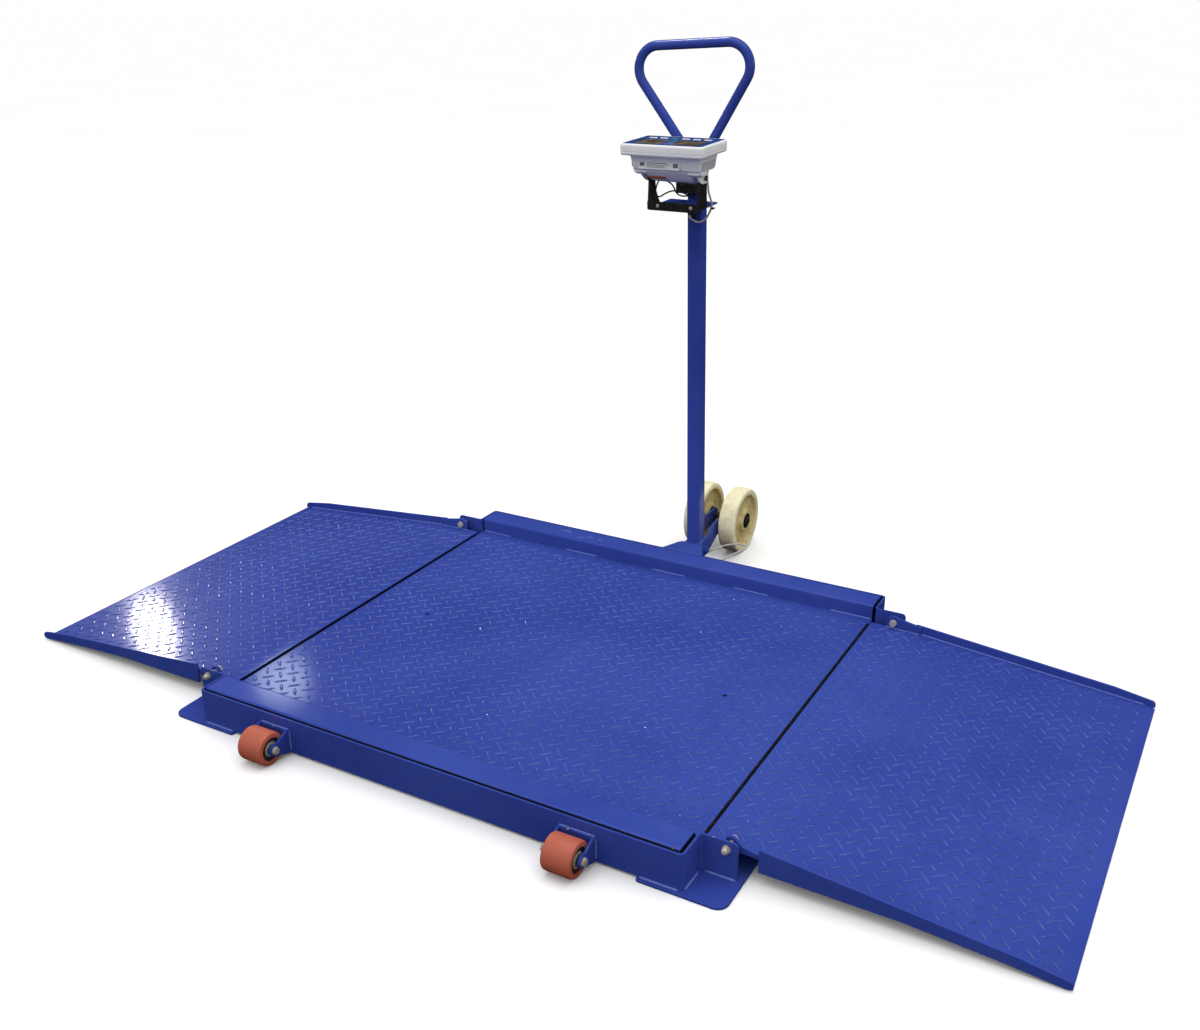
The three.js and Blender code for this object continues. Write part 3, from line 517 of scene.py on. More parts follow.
LOWER_LEAD = [
    (-40, 583.5, 1167.6), (-44, 592, 1162), (-51, 596, 1150), (-56, 597, 1137), (-57.5, 597.5, 1126),
    (-54, 598.5, 1117), (-46, 600, 1115.5), (-37, 606, 1121), (-29, 614, 1126), (-21, 621, 1128.5),
    (-12, 627, 1128.5), (0, 632, 1125.5), (13, 635.2, 1120.5), (21, 640.5, 1114.6), (26, 646.5, 1113.6),
    (29, 651.5, 1115.5), (30, 653.2, 1119.4),
]
CABLE_DIAMETER = 5.5
LEAD_DIAMETER = 4


def smooth_route(points, steps=6):
    """The centripetal Catmull-Rom curve through the points, in the frame."""
    knots = [DECK @ Vector(p) for p in points]
    ends = [2 * knots[0] - knots[1], *knots, 2 * knots[-1] - knots[-2]]
    route = []
    for p0, p1, p2, p3 in zip(ends, ends[1:], ends[2:], ends[3:]):
        t1 = (p1 - p0).length ** 0.5
        t2 = t1 + (p2 - p1).length ** 0.5
        t3 = t2 + (p3 - p2).length ** 0.5
        for k in range(steps):
            t = t1 + (t2 - t1) * k / steps
            a1 = p0.lerp(p1, t / t1)
            a2 = p1.lerp(p2, (t - t1) / (t2 - t1))
            a3 = p2.lerp(p3, (t - t2) / (t3 - t2))
            b1 = a1.lerp(a2, t / t2)
            b2 = a2.lerp(a3, (t - t1) / (t3 - t1))
            route.append(b1.lerp(b2, (t - t1) / (t2 - t1)))
    return [*route, knots[-1]]


def add_cable(name, node, points, diameter, look):
    """A jacketed cable along a smooth route through the points, in place of a CAD node."""
    material, slot = look
    route = smooth_route(points)
    cable = add_mesh(name, tube(route, diameter / 2 * MM), Matrix.Identity(4))
    cable.data.materials.append(material)
    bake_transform(cable)
    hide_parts(node)
    return route


add_cable("foot_cable_jacket", "foot_signal_cable", FOOT_CABLE, CABLE_DIAMETER, GREY_JACKET)
HEAD_ROUTE = add_cable("head_cable_jacket", "head_signal_cable", HEAD_CABLE, CABLE_DIAMETER, GREY_JACKET)
add_cable("upper_lead_jacket", "upper_black_lead", UPPER_LEAD, LEAD_DIAMETER, BLACK_JACKET)
add_cable("lower_lead_jacket", "lower_black_lead", LOWER_LEAD, LEAD_DIAMETER, BLACK_JACKET)


# ---- CAD nodes that stay
def refine(node, width, look=PAINT, segments=2):
    """Gives a CAD node rounded edges, even shading and its finish."""
    material, slot = look
    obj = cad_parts[node]
    mesh = obj.data
    normals = mesh.attributes.get("custom_normal")
    if normals:
        mesh.attributes.remove(normals)
    mesh.polygons.foreach_set("use_smooth", [True] * len(mesh.polygons))
    obj.modifiers.new("join", "WELD").merge_threshold = 0.00002
    flat = obj.modifiers.new("flats", "DECIMATE")
    flat.decimate_type = "DISSOLVE"
    flat.angle_limit = radians(0.6)
    soften(obj, width, segments)
    mesh.materials.clear()
    mesh.materials.append(material)


for node in ("front_side_channel", "rear_side_channel", "front_cover", "rear_cover"):
    refine(node, 0.9)
for node in ("deck_plate", "hitch_bracket", "pole", "shelf_plate"):
    refine(node, 1)
for name, end in ENDS:
    refine(f"{name}_cross_plate", 1.4, segments=3)
    refine(f"{name}_roller_fork", 1.2, segments=3)
    refine(f"{name}_ramp_plate", 0.8)
    refine(f"{name}_axle_arm", 1.2)
    for side in ("front", "rear"):
        refine(f"{name}_ramp_{side}_kerb", 1.2, segments=3)
        refine(f"{name}_{side}_load_cell", 0.6, ALLOY)
refine("junction_box", 2, ALLOY, 3)


# ---- tread plate
TREAD = {"pitch": 43.6, "length": 33, "width": 8, "height": 1.9, "sides": 12, "margin": 11}
DECK_CORNER = (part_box("deck_plate")[1] - DECK_MIDDLE) / MM
DECK_TOP = DECK_CORNER.z
RAMP = {"inner": 634.5, "bend": 735, "toe": 1346, "top": 60, "toe_top": 5.3, "half_y": 522.7}
SLOPE = atan2(RAMP["top"] - RAMP["toe_top"], RAMP["toe"] - RAMP["bend"])
LOCK_HOLE = {"x": 443, "y": 4, "clear": 20}


def tread_lug():
    """One raised lens of the tread pattern, lying along X, with a fillet where it meets the plate."""
    sides = TREAD["sides"]
    rings = []
    for spread, rise in ((1.1, -0.05), (0.97, 0.3), (0.84, 0.72), (0.62, 0.92), (0.3, 1)):
        ring = []
        for angle in full_turn(sides):
            along = cos(angle)
            across = sin(angle) * (1 - 0.42 * along ** 2)
            ring.append((TREAD["length"] / 2 * spread * along, TREAD["width"] / 2 * spread * across,
                         TREAD["height"] * rise))
        rings.append(ring)
    points, faces = loft(rings, caps=False)
    faces.append(tuple(range(len(points) - sides, len(points))))
    return points, faces


def tread_centres(low, high, half_y):
    """Centres and angles of a plate's lugs, on a square lattice with lugs at 45 degrees both ways."""
    half, margin = TREAD["pitch"] / 2, TREAD["margin"]
    found = []
    for i in range(ceil((low + margin) / half), floor((high - margin) / half) + 1):
        for j in range(ceil((margin - half_y) / half), floor((half_y - margin) / half) + 1):
            if (i + j) % 2 == 0:
                found.append((i * half, j * half, -45 if i % 2 == 0 else 45))
    return found


def plate_of_lugs(name, centres, to_plate, body):
    """All lugs of one plate. to_plate gives a lug's place from its distance along the plate and its Y."""
    points, faces = tread_lug()
    shapes = []
    for along, y, angle in centres:
        spot, tilt = to_plate(along, y)
        turn = np.array(tilt @ Matrix.Rotation(radians(angle), 3, "Z"))
        shapes.append((points @ turn.T + np.array(spot), faces))
    # The lugs take the lighter enamel, which paints highlights on them.
    piece(name, merged(*shapes), DECK, body, LUG_PAINT_WITH_HIGHLIGHT)


def on_deck(x, y):
    return (x, y, DECK_TOP), Matrix.Identity(3)


def on_ramp(end):
    def place(along, y):
        run = along - RAMP["bend"]
        if run <= 0:
            return (end * along, y, RAMP["top"]), Matrix.Identity(3)
        x = RAMP["bend"] + run * cos(SLOPE)
        z = RAMP["top"] - run * sin(SLOPE)
        return (end * x, y, z), Matrix.Rotation(end * SLOPE, 3, "Y")
    return place


def near_lock_hole(x, y):
    return min(hypot(x - s * LOCK_HOLE["x"], y - LOCK_HOLE["y"]) for s in SIGNS) <= LOCK_HOLE["clear"]


def add_tread():
    deck = [centre for centre in tread_centres(-DECK_CORNER.x, DECK_CORNER.x, DECK_CORNER.y)
            if not near_lock_hole(*centre[:2])]
    plate_of_lugs("deck_tread", deck, on_deck, "base")
    length = RAMP["bend"] + hypot(RAMP["toe"] - RAMP["bend"], RAMP["top"] - RAMP["toe_top"])
    ramp = [centre for centre in tread_centres(RAMP["inner"], length - 8, RAMP["half_y"])
            if abs(centre[0] - RAMP["bend"]) > 6]
    for name, end in ENDS:
        lugs = [(along, y, end * angle) for along, y, angle in ramp]
        plate_of_lugs(f"{name}_ramp_tread", lugs, on_ramp(end), f"{name}_ramp")


add_tread()


# ---- weld beads, lock screws and black strips of painted shade in the gaps
FRAME = {"half_x": 640, "half_y": 628, "inner_y": 548, "foot_top": 6.3}
STITCHES = ((-626, -529), (-329, -221), (-36, 71), (225, 330), (510, 626))
FORK = {"x": 404, "half": 43.5, "reach": 42}
BEAD = {"wander": 0.25, "valley": 0.86, "end": 0.45, "sides": 8}


def weld_run(start, end, radius=2.6, pitch=3.4, seed=1):
    """A bead with ripples between two points, in millimetres, uneven in width and line."""
    draw = random.Random(seed)
    a, b = Vector(start), Vector(end)
    count = max(int((b - a).length / (pitch / 2)), 4)
    path, radii = [], []
    for i in range(count + 1):
        t = i / count
        path.append(a.lerp(b, t) + Vector([draw.uniform(-BEAD["wander"], BEAD["wander"]) for _ in range(3)]))
        taper = min(1, BEAD["end"] + min(t, 1 - t) * (b - a).length / 10)
        radii.append(radius * taper * (1 if i % 2 else BEAD["valley"]) * draw.uniform(0.92, 1.08))
    return tube(path, radii, BEAD["sides"])


def add_lock_screws():
    """The dark heads of the transport locks, sunk in the deck's two holes."""
    head = washer(2.4, 5.6, 0, -2.4, (0, 0.5, 0, 0), 3, 32)
    screw = merged(turned(head, X_TO_Z), prism(hexagon(4.6), -2.2, -1.6, "Z"))
    screws = [moved(screw, end * LOCK_HOLE["x"], LOCK_HOLE["y"], DECK_TOP - 2) for end in SIGNS]
    piece("lock_screws", merged(*screws), DECK, "base", OILED, bevel=0.2)


def add_frame_welds():
    """Stitches beside the deck, and seams at the feet, the roller forks and the hitch bracket."""
    foot = FRAME["foot_top"] + 0.4
    front, rear = -FRAME["half_y"] - 0.6, FRAME["half_y"] + 0.8
    beads = []
    for side in SIGNS:
        stitch = side * (FRAME["inner_y"] - 0.5), DECK_TOP + 0.6
        for i, (x0, x1) in enumerate(STITCHES):
            beads.append(((x0, *stitch), (x1, *stitch), 2.2, 10 * i + side))
        outer, inner = side * (FRAME["half_y"] + 0.6), side * (FRAME["inner_y"] + 0.6)
        for end in SIGNS:
            corner = end * (FRAME["half_x"] + 0.6)
            beads += [((end * 545, outer, foot), (end * 630, outer, foot), 3, 3 + end),
                      ((corner, side * 618, foot), (corner, side * 557, foot), 3, 5 + end),
                      ((end * 650, inner, foot), (end * 716, inner, foot), 3, 7 + end)]
    for end in SIGNS:
        x, reach = end * FORK["x"], FORK["reach"]
        for z in (67, 8):
            beads.append(((x - reach, front, z), (x + reach, front, z), 2.6, 40 + end + z))
        for edge in (-FORK["half"], FORK["half"]):
            beads.append(((x + edge, front, 12), (x + edge, front, 64), 2.4, 60 + end + int(edge)))
    for z in (90, 84):
        beads.append(((-44, rear, z), (84, rear, z), 2.8, 80 + z))
    for x in (-13, 53):
        beads.append(((x, rear, 33), (x, rear, 82), 2.6, 90 + x))
    shapes = [weld_run(start, end, radius, seed=seed) for start, end, radius, seed in beads]
    piece("frame_welds", merged(*shapes), DECK, "base", WELD)


def add_ramp_welds():
    near, far = 765, 1322
    top, low = (RAMP["top"] - (x - RAMP["bend"]) * tan(SLOPE) + 0.4 for x in (near, far))
    for name, end in ENDS:
        shapes = []
        for side in SIGNS:
            y, ear = side * RAMP["half_y"], side * 516.6
            shapes.append(weld_run((end * near, y, top), (end * far, y, low), 2, 3.2, seed=20 + side))
            shapes.append(weld_run((end * 672, ear, 60.6), (end * 766, ear, 58.2), 2, seed=24 + side))
        piece(f"{name}_ramp_welds", merged(*shapes), DECK, f"{name}_ramp", WELD)


def add_gap_shade_strips():
    """Black strips in the slots round the covers and on the facing edges of deck and ramps: painted shade
    that keeps these gaps dark.
    """
    deck_ys, ramp_ys = (-520, 520), (-514, 514)
    base = []
    for side in SIGNS:
        base.append(block((-627.6, 627.6), (side * 619.3, side * 622.9), (80, 94.4 if side < 0 else 92)))
        for end in SIGNS:
            base.append(block((end * 628.1, end * 631), (side * 553, side * 619), (76, 90)))
    for name, end in ENDS:
        base.append(block((end * 629.4, end * 630.1), deck_ys, (49.5, 54.4)))
        base.append(block((end * 629.4, end * 631.6), deck_ys, (42, 49.5)))
        # The ramp's own strip of painted shade on its inner end.
        strip = block((end * 634.6, end * 633.9), ramp_ys, (55.3, 59.3))
        piece(f"{name}_ramp_gap_shade_strip", strip, DECK, f"{name}_ramp", RUBBER_AND_GAP_SHADE)
    base.append(block((623.4, 629.6), deck_ys, (54.8, 55.3)))
    piece("slot_shade_strips", merged(*base), DECK, "base", RUBBER_AND_GAP_SHADE)


add_lock_screws()
add_frame_welds()
add_ramp_welds()
add_gap_shade_strips()


# ---- rollers and ramp hinge bolts
def add_roller(name):
    body, place = f"{name}_roller", at(middle(f"{name}_roller_tyre"))
    tyre = [(28, -34, 0.6), (34, -34, 2), (40, -33, 9), (40, 33, 9), (34, 34, 2), (28, 34, 0.6)]
    piece(f"{name}_roller_tread", spin(tyre, 7, 96), place, body, TYRE, [f"{name}_roller_tyre"])
    core = mirrored([(5.3, 35, 0), (10.6, 35, 1), (11, 31, 0.6), (18.5, 31, 0.6), (19.5, 29, 0.5),
                     (24, 29, 0.8), (25, 31.5, 0.6), (27.7, 31.5, 0.5)])
    piece(f"{name}_roller_hub", spin(core, 3, 64), place, body, CORE, [f"{name}_roller_core"])
    shield = [(11.4, 30.6, 0.2), (11.4, 32, 0.4), (13, 31.6, 0.3), (16.4, 31.6, 0.3), (18.2, 32, 0.4),
              (18.2, 30.6, 0.2)]
    piece(f"{name}_roller_bearings", merged(*both_faces(shield, 2, 48)), place, body, ZINC)
    out = 43.8                         # the outer face of the fork's cheeks
    bolt = [
        spin([(5, -out - 9, 1), (5, out + 1, 0)], 2, 24, closed=False),
        washer(5.2, 9.6, out, out + 1.5, (0, 0.3, 0.4, 0)),
        nut(15.4, out + 1.5, out + 6.3),
        spin([(0.4, out + 6, 0), (0.4, out + 6.7, 0), (6.4, out + 6.5, 0.4), (7.2, out + 6, 0)], 2, 32),
        washer(5.2, 9.6, -out - 1.5, -out, (0, 0.4, 0.3, 0)),
        nut(15.4, -out - 8.2, -out - 1.6),
    ]
    piece(f"{name}_roller_bolt", merged(*bolt), place, "base", ZINC, [f"{name}_roller_axle"], 0.5)


def add_hinge_bolt(node, outward):
    """Head and washer inside the kerb ear, plain shank, and a dome nut on its washer outside the lug."""
    low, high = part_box(node)
    start = low.y if outward > 0 else high.y
    end = (high.y - low.y) / MM - 15.8
    dome = [(7.4, end + 7.2), (7.2, end + 8.4)]
    for i in range(9):
        angle = radians(90 * i / 8)
        dome.append((0.3 + 6.7 * cos(angle), end + 9 + 6.6 * sin(angle)))
    shape = merged(nut(15.6, 0, 6.6), washer(5, 9.6, 6.4, 7.9, (0, 0.3, 0.3, 0)),
                   lathe([(5, 6), (5, end + 2)], 32, closed=False),
                   washer(5, 9.4, end, end + 1.5, (0, 0.4, 0.4, 0)),
                   nut(15.2, end + 2, end + 7.4), lathe(dome, 40, closed=False))
    shape = turned(shape, about("Z", outward * pi / 2))
    place = at((middle(node).x, start, middle(node).z))
    piece(f"{node}_set", shape, place, "base", ZINC, [node], 0.5)


for name, end in ENDS:
    add_roller(name)
for name, end in ENDS:
    add_hinge_bolt(f"{name}_front_hinge_bolt", -1)
    add_hinge_bolt(f"{name}_rear_hinge_bolt", 1)

# ---- lever: axle, wheels, handle
AXLE = LEVER.inverted() @ WHEEL_CENTRE
WHEEL = {"half": 27, "offset": 58.5}


def add_wheel(name):
    body, place = f"{name}_transport_wheel", at(middle(f"{name}_wheel"))
    wheel = mirrored([(24, WHEEL["half"], 0.5), (32, WHEEL["half"], 3), (37, 15, 5), (74, 14.5, 6),
                      (79, 25.5, 3), (88, WHEEL["half"], 3), (97, 26, 5), (100, 20, 7)])
    piece(f"{name}_nylon_wheel", spin(wheel, 6, 128), place, body, NYLON, [f"{name}_wheel"])
    bush = mirrored([(10.4, 26, 0.4), (14, 26, 0.8), (15, 23.5, 0.6), (18.5, 23.5, 0.6),
                     (19.5, 27.4, 0.8), (23.6, 27.4, 0.8)])
    piece(f"{name}_wheel_bush", spin(bush, 3, 72), place, body, BLACK, [f"{name}_wheel_hub"])
    seal = [(15.4, 22, 0.2), (15.4, 24.6, 0.4), (18.2, 24.6, 0.4), (18.2, 22, 0.2)]
    piece(f"{name}_wheel_seals", merged(*both_faces(seal, 2, 48)), place, body, RUBBER_AND_GAP_SHADE)


def add_axle():
    end = WHEEL["offset"] + WHEEL["half"] + 1
    cap = [(0.4, end + 5, 0), (9.4, end + 5, 0.3), (9, end + 6.2, 1), (0.4, end + 6.4, 0)]
    caps = merged(*both_faces(cap, 3, 40, closed=False))
    piece("axle_caps", moved(caps, 0, AXLE.y, AXLE.z), LEVER, "lever", BLACK)
    shaft = [(3, -end - 5, 0), (10, -end - 5, 1.6), (10, end + 5, 1.6), (3, end + 5, 0)]
    ring = [(10.1, end + 0.3, 0.2), (15, end + 0.3, 0.5), (15, end + 1.6, 0.6), (10.1, end + 1.6, 0.2)]
    clip = [(10.05, end + 2.2, 0.1), (12.6, end + 2.2, 0.3), (12.6, end + 3.3, 0.3), (10.05, end + 3.3, 0.1)]
    axle = merged(spin(shaft, 3, 48, closed=False), *both_faces(ring, 3, 48), *both_faces(clip, 2, 40))
    piece("wheel_axle", moved(axle, 0, AXLE.y, AXLE.z), LEVER, "lever", OILED_AXLE, ["axle"])


def add_hitch_pin():
    shank = spin([(4, -43.3, 0), (7.7, -43.3, 1.4), (7.7, 34, 0)], 3, 40, closed=False)
    shape = merged(shank, nut(15.6, 33.5, 41), nut(17.4, -41, -33.6),
                   washer(8, 11.5, 33.3, 34.6, (0, 0.4, 0.4, 0)))
    piece("lever_pivot_bolt", shape, at(PIVOT), "base", PAINT, ["hitch_pin"], 0.6)


HANDLE = {"base": 1120, "height": 309, "slope": 0.675, "bend": 58, "tube": 12.5, "foot": -9}
SKEW = Matrix.Translation((0, 0, HANDLE["base"])) @ about("Y", radians(-3))


def handle_path():
    """Centre line of the handle: up the left leg, along the top bar and down the right leg."""
    slope, bend, height, foot = (HANDLE[key] for key in ("slope", "bend", "height", "foot"))
    lean = atan(slope)
    bend_x = bend * (1 / cos(lean) + slope) - slope * height
    bend_z = height - bend
    first = -slope * foot, foot
    leave = bend_x - bend * cos(lean), bend_z - bend * sin(lean)
    half = [tuple(a + (b - a) * i / 25 for a, b in zip(first, leave)) for i in range(25)]
    for i in range(25):
        angle = pi + lean - (pi / 2 + lean) * i / 24
        half.append((bend_x + bend * cos(angle), bend_z + bend * sin(angle)))
    half += [(bend_x * (1 - i / 8), height) for i in range(1, 9)]
    return [(x, 0, z) for x, z in half + [(-x, z) for x, z in half[-2::-1]]]


def add_handle():
    cap = prism(rectangle(-19, 19, -19, 19, 3), -14.6, HANDLE["foot"], "Z")
    loop = merged(tube(handle_path(), HANDLE["tube"], 32), cap)
    piece("handle_loop", loop, LEVER @ SKEW, "lever", PAINT, ["handle"], 0.8)
    beads = []
    for leg in SIGNS:
        ring = [(leg * 5 + 19 * cos(a) * 0.98, 13.2 * sin(a), -7.6 + 1.5 * cos(a) * leg)
                for a in full_turn(20) + [0]]
        beads += [weld_run(p, q, 2.4, seed=120 + leg + i) for i, (p, q) in enumerate(zip(ring, ring[1:]))]
    piece("handle_weld", merged(*beads), LEVER @ SKEW, "lever", WELD)


def add_lever_welds():
    shapes = []
    for side in SIGNS:
        x = side * 20.3
        shapes += [weld_run((x, -18, 27.5), (x, 9, 30.5), 2.4, seed=130 + side),
                   weld_run((x, -19.5, -22), (x, -19.5, 24), 2.2, seed=133 + side)]
    shapes += [weld_run((-19, -20.8, 1035.6), (19, -20.8, 1035.6), 2.2, seed=140),
               weld_run((-19, -20.8, 1040.4), (-3, -20.8, 1040.4), 2, seed=141)]
    piece("lever_welds", merged(*shapes), LEVER, "lever", WELD)


for name, end in ENDS:
    add_wheel(name)
add_axle()
add_hitch_pin()
add_handle()
add_lever_welds()


# ---- cable glands
POLE_BACK = -20.3                      # the pole's face towards the deck


def gland(radius, length, flats=18):
    """A cable gland along X: hex flange, ribbed dome and a soft nose round the cable."""
    dome = [(radius * 0.98, 7.5, 0), (radius, 8.5, 0.8), (radius, length - 6, 2),
            (radius * 0.62, length - 1.5, 2), (radius * 0.5, length, 0)]
    neck = [(flats * 0.46, 3), (flats * 0.46, 5), (radius * 0.9, 5.4), (radius * 0.9, 7.8)]
    parts = [nut(flats, 0, 3.2), lathe(neck, 36, closed=False), spin(dome, 4, 36, closed=False)]
    rib = prism(rectangle(-0.7, 0.7, radius - 0.6, radius + 0.7, 0.3, 2), 8.4, length - 6.5, "X")
    parts += [turned(rib, about("X", angle)) for angle in full_turn(12)]
    return merged(*parts)


def add_glands():
    centre, low = middle("rear_cable_gland"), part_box("rear_cable_gland")[0]
    piece("rear_gland_body", turned(gland(6.3, 20), X_TO_Y), at((centre.x, low.y, centre.z)), "base", BLACK,
          ["rear_cable_gland"], 0.3)
    shape = moved(turned(gland(7.6, 16), X_TO_Y.inverted()), -3, POLE_BACK, 1000)
    piece("pole_gland_body", shape, LEVER, "lever", BLACK, ["pole_cable_gland"], 0.3)


add_glands()

# ---- indicator bracket and adapter
BRACKET = {"half_x": 77, "arm": 8, "arm_rise": 58, "foot_y": 21, "y0": -142, "y1": -100, "low": 1040.3,
           "knob": 1118, "radius": 14}
KNOB_Y = (BRACKET["y0"] + BRACKET["y1"]) / 2


def bracket_arm(side):
    """A moulded arm that thins towards its round top, with its thick foot inside."""
    low, knob, radius, arm, full, foot = (BRACKET[key] for key in
                                          ("low", "knob", "radius", "arm", "arm_rise", "foot_y"))
    levels = []
    for rise in (0, 4, 9, 16, 24, 34, 46, full):
        t = rise / full
        levels.append((low + rise, arm + 13 * (1 - t) ** 2.4, foot + (radius - foot) * t ** 0.8))
    start = low + full
    for i in range(1, 9):
        angle = radians(10 * i)
        levels.append((start + (knob + radius - start) * sin(angle), arm,
                       max(radius * cos(angle) ** 0.7, 3)))
    rings = []
    for z, thick, half_y in levels:
        xs = sorted((side * BRACKET["half_x"], side * (BRACKET["half_x"] - thick)))
        rings.append(lifted(rectangle(*xs, KNOB_Y - half_y, KNOB_Y + half_y, 1.6, 3), z, "Z"))
    return loft(rings)


def add_bracket():
    low, half, y0, y1 = (BRACKET[key] for key in ("low", "half_x", "y0", "y1"))
    flange = rounded([(-half, low - 9, 5), (half, low - 9, 5), (half, low + 14, 2), (half - 24, low + 13, 12),
                      (24 - half, low + 13, 12), (-half, low + 14, 2)], 5)
    parts = [bracket_arm(-1), bracket_arm(1), prism(flange, y0, y0 + 6, "Y"),
             prism(rectangle(-half + 2, half - 2, y0 + 3, y1, 3), low, low + 5, "Z")]
    for x in (-30, 0, 30):
        parts.append(prism([(y0 + 4, low + 3), (y1 - 6, low + 3), (y0 + 4, low + 12)], x - 1.2, x + 1.2, "X"))
    piece("bracket_moulding", merged(*parts), LEVER, "lever", BLACK, ["indicator_bracket"], 0.8)
    head = spin([(0.5, 0, 0), (4.4, 0, 0.2), (4.2, -1.4, 0.8), (2.3, -2.5, 1), (0.5, -2.6, 0)], 4, 28,
                closed=False)
    bar = prism(rectangle(-2, 2, -0.35, 0.35), -2.65, -2.1, "X")
    cross = [turned(bar, about("X", a)) for a in (0.4, 0.4 + pi / 2)]
    screw = turned(merged(head, *cross, washer(2, 5, -0.9, 0.1, (0, 0.2, 0.2, 0), 2, 32)), X_TO_Y)
    screws = [moved(screw, x, y0 - 0.8, low + 3.5) for x in (-46, 49)]
    piece("bracket_screws", merged(*screws), LEVER, "lever", ZINC)


def add_adapter():
    """The supply's moulded box on the pole, with a vented face, a plug-in block and two strain reliefs."""
    parts = [loft([lifted(rectangle(-40 + g, 22 - g, 1061 + g, 1092 - g, 5), POLE_BACK - d, "Y")
                   for g, d in ((0.6, 0), (0, 1), (0, 27), (1, 29.2), (3.2, 30))])]
    for i in range(5):
        z = 1068 + 4.2 * i
        parts.append(prism(rectangle(-34, -8, z, z + 1.6, 0.7, 2), POLE_BACK - 30.7, POLE_BACK - 29, "Y"))
    parts.append(loft([lifted(rectangle(-4 + g, 20 - g, 1063 + g, 1090 - g, 3), POLE_BACK - d, "Y")
                       for g, d in ((0, 28), (0, 34), (1.5, 36))]))
    piece("supply_box", merged(*parts), LEVER, "lever", GLOSSY_BLACK, ["adapter_box"], 0.4)
    reliefs = []
    for route in (UPPER_LEAD, LOWER_LEAD):
        before, end = Vector(route[-3]), Vector(route[-1])
        away = (before - end).normalized()
        path = [end + Vector((0, 0, 2.2)), end, end + away * 3, end + away * 6.5]
        reliefs.append(tube(path, [3.4, 3.3, 2.9, 2.35]))
    piece("lead_reliefs", merged(*reliefs), DECK, "lever", RUBBER_AND_GAP_SHADE)


add_bracket()
add_adapter()

# ---- indicator
CASE = {"half_x": 116, "front": -218, "back": -62, "rim": 1178.5, "top": 1208, "corner": 13}
KEY = {"count": 6, "pitch": 31, "y": -101, "half_x": 11, "half_y": 4, "gap": 0.35}
KEY_CENTRES = [(i - (KEY["count"] - 1) / 2) * KEY["pitch"] for i in range(KEY["count"])]


def case_ring(z, half_x, front, back, corner):
    return lifted(rectangle(-half_x, half_x, front, back, corner, 8), z, "Z")


def case_skin(*rings):
    """A skin over (inset, level) rings of the case's outline."""
    corner = CASE["corner"]
    return loft([case_ring(z, CASE["half_x"] - g, CASE["front"] + g, CASE["back"] - g, max(corner - g, 2))
                 for g, z in rings])


def housing_shape():
    """Rim with a rounded top edge and a recess for the panel, seam, and the tapering belly under it."""
    rim, top = CASE["rim"], CASE["top"]
    parts = [
        case_skin((1.2, rim + 9.4), (0.2, rim + 10.4), (0, rim + 12), (0, top - 6.4), (0.5, top - 4),
                  (1.5, top - 2), (3, top - 0.6), (4.4, top), (5, top - 0.1), (5.4, top - 3.4)),
        case_skin((9, rim + 2), (4.5, rim + 0.3), (2.4, rim + 0.8), (1, rim + 2.4), (0.3, rim + 5),
                  (0, rim + 7), (0.4, rim + 8.6), (1.4, rim + 9.2), (14, rim + 9.4)),
    ]
    belly = [(1188, 112, -208, -84, 12), (1181.5, 108, -203, -85, 12), (1177, 103, -197, -86.5, 12),
             (1172, 100.4, -193, -88, 12), (1160, 99, -190, -90, 12), (1148, 98, -187.6, -92, 12),
             (1143, 97, -185.5, -93, 12), (1140, 94, -181, -94.5, 12), (1138.2, 88, -174, -96, 11)]
    keel = [(1150, 68.4, -182, -92, 8), (1138, 68.4, -180.5, -93.5, 8), (1131.5, 68.4, -175, -95.6, 8),
            (1128, 68.4, -170.5, -97, 8), (1119, 64, -161.5, -102, 8), (1111.5, 59, -152, -107, 7),
            (1107.5, 56, -143, -109.5, 7), (1103.5, 52, -125, -111.6, 5)]
    parts += [loft([case_ring(*row) for row in rows]) for rows in (belly, keel)]
    cheek = rounded([(-179, 1144, 2), (-176, 1132, 8), (-158, 1116, 8), (-138, 1105, 10), (-112, 1103.5, 8),
                     (-103, 1116, 8), (-96, 1144, 2)], 5)
    boss = spin([(2, 0, 0), (12.5, 0, 1.2), (12.5, -14, 0)], 3, 40, closed=False)
    stud = spin([(0.6, 0, 0), (4.4, 0, 0.3), (4, -3.2, 1.2), (0.6, -3.6, 0)], 3, 24, closed=False)
    for side in SIGNS:
        parts.append(loft([lifted(cheek, side * x, "X") for x in (77.5, 79)]))
        shoulder = []
        for y, low in ((-147, 1126.5), (-163, 1126.5), (-170, 1127.5), (-176, 1130), (-180, 1133.5)):
            outline = rounded([(60, 1142, 0), (96, 1142, 2), (95, low + 2, 5), (88, low, 6), (60, low, 0)])
            shoulder.append([(side * u, y, v) for u, v in outline])
        parts.append(loft(shoulder))
        parts.append(moved(facing(boss, side), side * 68.7, KNOB_Y, BRACKET["knob"]))
        parts += [moved(turned(stud, X_TO_Z), side * 101, y, rim + 0.6) for y in (-166, -118)]
    return merged(*parts)


def film_sheet(top):
    """The panel's sheet: a strip in front of the keys, a strip behind them, and the bars between them."""
    half_x, front, back, corner = 110.3, -212.3, -67.7, 7.5
    near, far = (KEY["y"] + side * (KEY["half_y"] + KEY["gap"]) for side in SIGNS)
    reach = KEY["half_x"] + KEY["gap"]
    outlines = [rounded([(x, edge, 0), (-x, edge, 0), (-x, rim, corner), (x, rim, corner)], 6)
                for x, edge, rim in ((half_x, near, front), (-half_x, far, back))]
    lefts = [-half_x] + [x + reach for x in KEY_CENTRES]
    rights = [x - reach for x in KEY_CENTRES] + [half_x]
    outlines += [rectangle(left, right, near, far) for left, right in zip(lefts, rights)]
    return merged(*[prism(outline, top - 1.3, top - 0.1, "Z") for outline in outlines])


